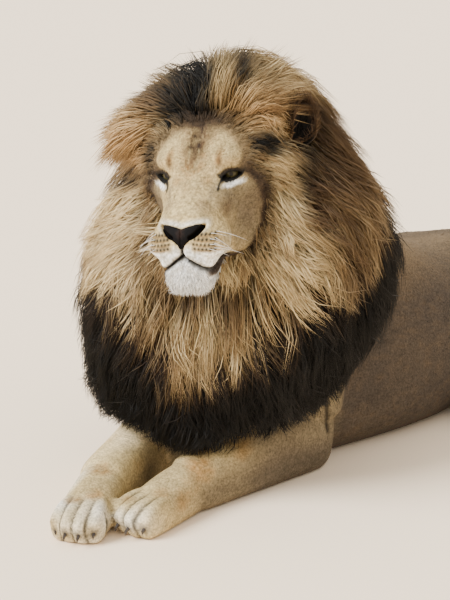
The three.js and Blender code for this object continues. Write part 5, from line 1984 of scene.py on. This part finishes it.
    def forelock(self, side: int, reach: float, count: int) -> Strands:
        """The hair that rises from the parting over the forehead and fans out over one ear."""
        rng = np.random.default_rng(self.seed + 5 + side)
        share = rng.random(count)
        angle = np.radians(mix(-10, 106, share) + rng.normal(0, 4, count))
        long = rng.uniform(0.72, 1.08, count)
        root = rows_of(mix(4, 112, share), mix(78, 106, share), mix(92, 58, share))
        back = rng.uniform(0, 1, count)
        root[:, 1] += 70 * back
        root += rng.normal(0, 1, (count, 3)) * np.array([9, 5, 5])
        out, up = reach * np.sin(angle) * long, (112 + 26 * side) * np.cos(angle) * long
        tip = rows_of(22 + out, mix(150, 60, share) + 60 * back, 62 + up)
        bend = mix(root, tip, np.array([0.4, 0.0, 0.55]))
        bend[:, 1] = mix(58, 40, share) + 66 * back
        bend[:, 2] += rng.uniform(16, 40, count)
        hang = np.zeros((count, 3))
        hang[:, 2] = (18 * side - 44) * smooth(share, 0.3, 1)
        steps = np.linspace(0, 1, self.rings + 1)[None, :, None]
        start, middle, end = root[:, None], bend[:, None], (tip + hang)[:, None]
        guides = start * (1 - steps) ** 2 + middle * (2 * steps * (1 - steps)) + end * steps**2
        guides = guides * np.array([side, 1, 1])
        pick = np.repeat(np.arange(count), self.each)
        total = len(pick)
        spread = unit(rng.normal(0, 1, (total, 3))) * rng.random((total, 1)) ** 0.5 * 13
        own = guides[pick] + spread[:, None] * (1 + 0.5 * steps)
        shorter = rng.uniform(0.78, 1.06, total)[:, None, None]
        own = own[:, :1] + (own - own[:, :1]) * shorter
        pull = rng.uniform(0.2, 0.75, count)[pick]
        world = HEAD.world(self.gathered(own, guides[pick], pull, rng))
        top = rows_of(side * np.sin(angle) * 0.3, -np.ones(count), np.full(count, 0.4))
        return self.coloured(world, HEAD.way(unit(top))[pick], pick, rng)

    def edge(self, head: Head, count: int) -> Strands:
        """The hair that grows longer and longer from the cheeks, jaw and brow into the mane."""
        rng = np.random.default_rng(self.seed + 9)
        x, y, z = head.points.T
        cover = smooth(past_hairline(head.points), -6, 16) * (1 - smooth(y, 130, 190))
        cover *= 1 - 0.9 * ((np.abs(x) > 60) & (z > 30) & (y > 96))
        chin = smooth(-z, 160, 184) * smooth(y, -60, 10)
        cover = np.maximum(cover, chin * (1 - smooth(y, 130, 190)))
        picked, shares = scatter(head.points, head.faces, cover, count, rng)
        roots = at_places(head.points, head.faces, picked, shares)
        normals = unit(at_places(head.normals, head.faces, picked, shares))
        grown = smooth(past_hairline(roots), -8, 88)
        grown = np.maximum(grown, 0.35 * smooth(-roots[:, 2], 160, 195))
        length = mix(16, 150, grown) * rng.uniform(0.8, 1.15, count)
        way = HEAD.way(face_flow(roots))
        world, out = HEAD.world(roots), HEAD.way(normals)
        lie = mane_lie(world)
        first_way = unit(pressed(way, out) + out * mix(0.25, 0.75, grown)[:, None])
        last_way = unit(lie + out * 0.12)
        lean = 0.3 * grain(world, 60, 44) + rng.normal(0, 0.1, count)
        last_way = turned(last_way, out, lean)
        pick = np.repeat(np.arange(count), 7)
        total = len(pick)
        steps = np.linspace(0, 1, self.rings + 1)[None, :, None]
        spread = strewn(out[pick], rng) * mix(3.5, 11, grown[pick])[:, None]

        def bent(start: Array, size: Array, near: Array, far: Array) -> Array:
            """Paths that leave along one way and turn into another."""
            turn = 0.5 * steps**2
            ahead = near[:, None] * (steps - turn) + far[:, None] * (turn + 0.12 * steps)
            return start[:, None] + ahead * size[:, None, None]

        guides = bent(world, length, first_way, last_way)
        size = length[pick] * rng.uniform(0.7, 1.1, total)
        own = bent(world[pick] + spread, size, first_way[pick], last_way[pick])
        pull = rng.uniform(0.2, 0.75, count)[pick]
        paths = own + (guides[pick] - own) * (pull[:, None, None] * steps**1.3)
        wave = rng.normal(0, 1, (total, 1, 3)) * mix(0.3, 2.2, grown[pick])[:, None, None]
        paths = paths + wave * np.sin(rng.uniform(0, 6.28, (total, 1, 1)) + steps * 5) * steps
        made = self.coloured(paths, out[pick], pick, rng)
        face = face_paint(roots)[pick]
        blend = smooth(grown[pick], 0.03, 0.35)[:, None]
        widths = made.widths * mix(0.55, 1.0, grown[pick])
        shades = mix(face[:, None], made.shades, blend[:, None])
        return replace(made, widths=widths, shades=shades, gold=made.gold | (blend[:, 0] < 0.5))

    def build(self, head: Head) -> None:
        """Makes the undercoat and every strand, in pieces small enough to handle."""
        core = self.undercoat()
        rng = np.random.default_rng(self.seed + 1)
        places = vertices(core)
        clump = 0.5 * grain(places, 16, 51)
        # The undercoat darkened as painted shade deep in the mane.
        paint_mesh(core, self.tone(places, clump, above_foot(places, self.form) - 30, rng)[0] * 0.66)
        set_vertices(core, places * MM)
        Piece("mane_undercoat", core, MANE_HAIR, "mane_black")
        whole = Strands.joined(
            [self.body(), self.forelock(1, 128, 250), self.forelock(-1, 228, 380), self.edge(head, 1400)]
        )
        deep = [in_hollow(whole.paths[:, step]) for step in range(1, self.rings + 1)]
        whole = whole.kept(np.max(deep, axis=0) < 0)
        tuft = Tuft(self.rings)
        taper = [0.8, 1.0, 0.72, 0.0]
        corners = tuft.sweep(whole.paths, whole.out, whole.widths, taper, 0.55)
        corners[..., 2] = np.maximum(corners[..., 2], 1.0)
        bearing = self.form.excess(whole.paths[:, 0])[1]
        for name, chosen, stands in (
            ("gold", whole.gold, ("mane_left", "mane_right", "mane_crest")),
            ("black", ~whole.gold, ()),
        ):
            order = np.nonzero(chosen)[0]
            order = order[np.argsort(bearing[order], kind="stable")]
            parts = math.ceil(len(order) * tuft.sides / self.most)
            for index, part in enumerate(np.array_split(order, parts)):
                title = f"mane_{name}_{index + 1}"
                mesh = tuft.mesh(title, corners[part], whole.shades[part], whole.spots[part])
                piece = Piece(title, mesh, MANE_HAIR, f"mane_{name}")
                if index < len(stands):
                    piece.stands_for(stands[index])


# ---- finer hair


class FineHair:
    """The chin's beard, the ears' hair, the whiskers and the tail's tuft."""

    def __init__(self, head: Head) -> None:
        """Keeps the head that most of it grows from."""
        self.head = head

    def chin(self) -> None:
        """The short white beard under the mouth."""
        x, y, z = self.head.points.T
        lip = read_off(LIPS, np.abs(x))
        below = lip - z - 14 * smooth(np.abs(x), 32, 46)
        cover = smooth(below, 4, 8) * (1 - smooth(np.abs(x), 46, 58)) * smooth(-y, 40, 74)
        coat = ShortCoat("chin_beard", "chin_fur", 4200, 0.85, 0.6, 61, rings=3, stray=0.35)

        def flow(points: Array) -> Array:
            """Down, and a little forward."""
            along = np.ones(len(points))
            return unit(rows_of(points[:, 0] / 130, -0.25 * along, -along))

        def length(points: Array) -> Array:
            """Longest under the point of the chin."""
            return 5 + 21 * smooth(-points[:, 2], 124, 172)

        def paint(points: Array) -> Array:
            """A little whiter than the skin under it."""
            return np.clip(face_paint(points) * 1.12, 0, 1)

        coat.grow(self.head.surface, cover, length, flow, paint, face_chart, HEAD)

    def whiskers(self) -> None:
        """Long white whiskers from the rows of spots on both pads."""
        rng = np.random.default_rng(62)
        tuft = Tuft(5)
        x, y, _ = self.head.points.T
        pads = self.head.points[(np.abs(x) < 80) & (y < -60)]
        roots, ways, sizes = [], [], []
        for side in (1, -1):
            for row in range(4):
                for place in range(4, 6):
                    across, level = side * (26 + 7.0 * place), -72 - 8.0 * row
                    gap = np.hypot(pads[:, 0] - across, pads[:, 2] - level)
                    roots.append(pads[np.argmin(gap)])
                    out, ahead = side * rng.uniform(0.75, 1.1), rng.uniform(-0.25, 0.25)
                    ways.append([out, ahead, rng.uniform(-0.55, 0.05)])
                    sizes.append(rng.uniform(22, 60) * (0.7 + 0.06 * place))
        roots, ways, sizes = np.array(roots), unit(np.array(ways)), np.array(sizes)
        share = np.linspace(0, 1, 6)[None, :, None]
        sag = np.array([0.0, 0.28, -0.34]) * share**2
        paths = roots[:, None] + (ways[:, None] * share + sag) * sizes[:, None, None]
        world = HEAD.world(paths)
        out = HEAD.way(np.tile(np.array([0.0, -1.0, 0.0]), (len(roots), 1)))
        corners = tuft.sweep(world, out, np.full(len(roots), 0.5), [1, 0.9, 0.8, 0.65, 0.45, 0], 1.0)
        colour = np.tile(linear("E4E0D8"), (len(roots), 2, 1))
        mesh = tuft.mesh("whiskers", corners, colour, face_chart(roots))
        Piece("whiskers", mesh, GUARD_HAIR, "chin_fur")

    def ear(self, form: EarSkin, count: int) -> None:
        """The hair on one ear: pale fans from the front edge inside, short fur behind."""
        points, mesh = form.shape()
        normals, faces = vertices(mesh, "normal"), triangles(mesh)
        bpy.data.meshes.remove(mesh)
        turn = np.array(form.place)
        centre = np.array([form.side * form.across, 134.0, 52.0])
        rim = np.hypot(points[:, 0] / 36, (points[:, 2] - 3) / 50)
        cover = 0.5 + 2.2 * smooth(rim, 0.55, 0.85)

        def flow(places: Array) -> Array:
            """Outwards to the rim and its tip, across the hollow inside."""
            x, y, z = places.T
            return unit(rows_of(x * 0.6 - form.side * 26 * (y < 2), np.full(len(x), -9.0), z + 40))

        def length(places: Array) -> Array:
            """Longer inside than behind."""
            return np.where(places[:, 1] < 2, 24.0, 13.0)

        def paint(places: Array) -> Array:
            """Gold-brown at the rim, painted shade in the hollow, and dark behind."""
            x, y, z = places.T
            colours = Paint(len(places), Tone.BROWN)
            edge = np.hypot(x / 36, (z - 3) / 50)
            colours.lay(Tone.AMBER, 0.8 * smooth(edge, 0.8, 1.0) * (y < 8))
            # Painted shade in the hollow.
            colours.lay(Tone.UMBER, 0.9 * (1 - smooth(edge, 0.45, 0.85)))
            colours.lay(Tone.BLACK, 0.8 * (y > 9) * (1 - smooth(z, 14, 40)))
            return colours.values

        def chart(places: Array) -> Array:
            """Front and back of the leaf side by side."""
            x, y, z = places.T
            return rows_of(0.25 + x / 190 + 0.5 * (y > 2), 0.5 + z / 130)

        coat = ShortCoat(f"ear_fur_{form.name}", "coat_fur", count, 1.1, 0.45, 63 + form.side, rings=3)
        skin = (points @ turn.T + centre, normals @ turn.T, faces)

        def inner(call: Callable[[Array], Array]) -> Callable[[Array], Array]:
            """Lets a function of the leaf's own frame read places in the head's frame."""
            return lambda places: call((places - centre) @ turn)

        lie = inner(lambda places: flow(places) @ turn.T)
        coat.grow(skin, cover, inner(length), lie, inner(paint), inner(chart), HEAD)

    def tail(self) -> None:
        """The black tuft at the end of the tail."""
        rng = np.random.default_rng(66)
        core = Loft(
            (
                (448, 1080, 34, 28, 28, 32), (450, 1010, 38, 46, 42, 38),
                (450, 940, 36, 42, 36, 36), (446, 850, 20, 16, 14, 18),
            ),
            ends=(0.1, 0.2),
        )
        count, rings = 2300, 4
        first = rng.uniform(0.02, 0.72, count)
        last = np.minimum(first + rng.uniform(0.3, 0.55, count), 0.995)
        angle = rng.uniform(0, 2 * math.pi, count)
        steps = np.linspace(0, 1, rings + 1)
        paths = []
        for step in steps:
            share = mix(first, last, step)
            middle = core.centre(share)
            skin = core.surface(share, angle + 0.35 * step * grain(middle * 3, 40, 67))
            reach = mix(0.25, rng.uniform(0.7, 1.02, count), step**0.6)
            paths.append(middle + (skin - middle) * reach[:, None])
        paths = np.stack(paths, axis=1)
        paths[..., 2] = np.maximum(paths[..., 2], 2.5)
        tuft = Tuft(rings)
        out = unit(paths[:, 2] - core.centre(mix(first, last, 0.5)) + UP * 0.01)
        widths = 1.9 * rng.uniform(0.7, 1.3, count)
        corners = tuft.sweep(paths, out, widths, [0.8, 1, 0.85, 0.55, 0], 0.55)
        corners[..., 2] = np.maximum(corners[..., 2], 0.5)
        colours = np.where(rng.random((count, 1)) < 0.22, Tone.BROWN.colour, Tone.UMBER.colour)
        colours = mix(colours, Tone.BLACK.colour, rng.uniform(0.3, 1, (count, 1)))
        chart = rows_of(0.02 + 0.96 * angle / (2 * math.pi), first)
        # Darker at the root as painted shade in the tuft, lighter at the tip as painted light.
        shades = rows_of(colours * 0.7, colours * 1.2)
        mesh = tuft.mesh("tail_tuft_hair", corners, shades, chart)
        Piece("tail_tuft_hair", mesh, MANE_HAIR, "mane_black").stands_for("tail_tuft")


# ---- studio


@dataclass(frozen=True)
class Studio:
    """The floor, the light and the camera, in metres."""

    azimuth: float = 43.0
    elevation: float = 14.8
    distance: float = 3.0
    target: tuple[float, float, float] = (0.035, -0.0865, 0.386)
    focal: float = 84.0

    def floor(self) -> None:
        """A plain pale floor out past the horizon of the view."""
        shape = bmesh.new()
        bmesh.ops.create_grid(shape, x_segments=1, y_segments=1, size=40)
        mesh = finished(shape, "floor")
        paint = bpy.data.materials.new("matt_studio_paper")
        paint.use_nodes = True
        shader = paint.node_tree.nodes["Principled BSDF"]
        shader.inputs["Base Color"].default_value = (*linear("FFEBD0"), 1)
        shader.inputs["Roughness"].default_value = 0.95
        shader.inputs["Specular IOR Level"].default_value = 0.1
        mesh.materials.append(paint)
        thing = placed("floor", mesh)

    def lamp(self, name: str, azimuth: float, elevation: float, spread: float, power: float) -> None:
        """One far, soft lamp that shines on the target from a broad part of the room."""
        light = bpy.data.lights.new(name, "SUN")
        light.angle, light.energy = math.radians(spread), power
        self.aim(placed(name, light), azimuth, elevation)

    def aim(self, thing: bpy.types.Object, azimuth: float, elevation: float) -> None:
        """Puts a lamp or camera at its distance from the target and turns it to face it."""
        turn, rise = math.radians(azimuth), math.radians(elevation)
        back = Vector((math.sin(turn) * math.cos(rise), -math.cos(turn) * math.cos(rise), math.sin(rise)))
        thing.location = Vector(self.target) + back * self.distance
        thing.rotation_euler = (-back).to_track_quat("-Z", "Y").to_euler()

    def build(self) -> None:
        """Sets up the whole studio."""
        self.floor()
        self.lamp("key", self.azimuth - 60, 41, 30, 6.2)
        self.lamp("fill", self.azimuth + 20, 62, 60, 0.4)
        world = bpy.data.worlds.new("pale_room")
        world.use_nodes = True
        sky = world.node_tree.nodes["Background"]
        sky.inputs["Color"].default_value = (*linear("FFF8EF"), 1)
        sky.inputs["Strength"].default_value = 1.3
        bpy.context.scene.world = world
        lens = bpy.data.cameras.new("camera")
        lens.lens, lens.sensor_width, lens.clip_end = self.focal, 36, 200
        camera = bpy.context.scene.camera = placed("camera", lens)
        self.aim(camera, self.azimuth, self.elevation)


def main() -> None:
    """Builds the studio and every piece of the animal in order."""
    logging.basicConfig(level=logging.INFO, format="%(message)s")
    Studio().build()
    head = Head(HeadSkin())
    head.build()
    hair = FineHair(head)
    for ear in (EarSkin("left", 1, 172), EarSkin("right", -1, 148)):
        ear.build()
        hair.ear(ear, 1100)
    form = BodySkin()
    body = Body(form)
    body.build()
    body.claws()
    lie = Lie(form.limbs())
    clear = (1.0 - 0.9 * body.clefts) * (body.points[:, 2] > 2)
    coat = ShortCoat("body_fur", "coat_fur", 15000, 1.2, 0.14, 71)
    coat.grow((body.points, body.normals, body.faces), clear, body_length, lie.flow, body_paint, lie.chart)
    coat = ShortCoat("face_fur_tufts", "face_fur", 12000, 0.7, 0.2, 72)
    cover = face_cover(head.points)
    coat.grow(head.surface, cover, face_length, face_flow, face_paint, face_chart, HEAD)
    hair.chin()
    hair.whiskers()
    hair.tail()
    Mane().build(head)


if __name__ == "__main__":
    main()
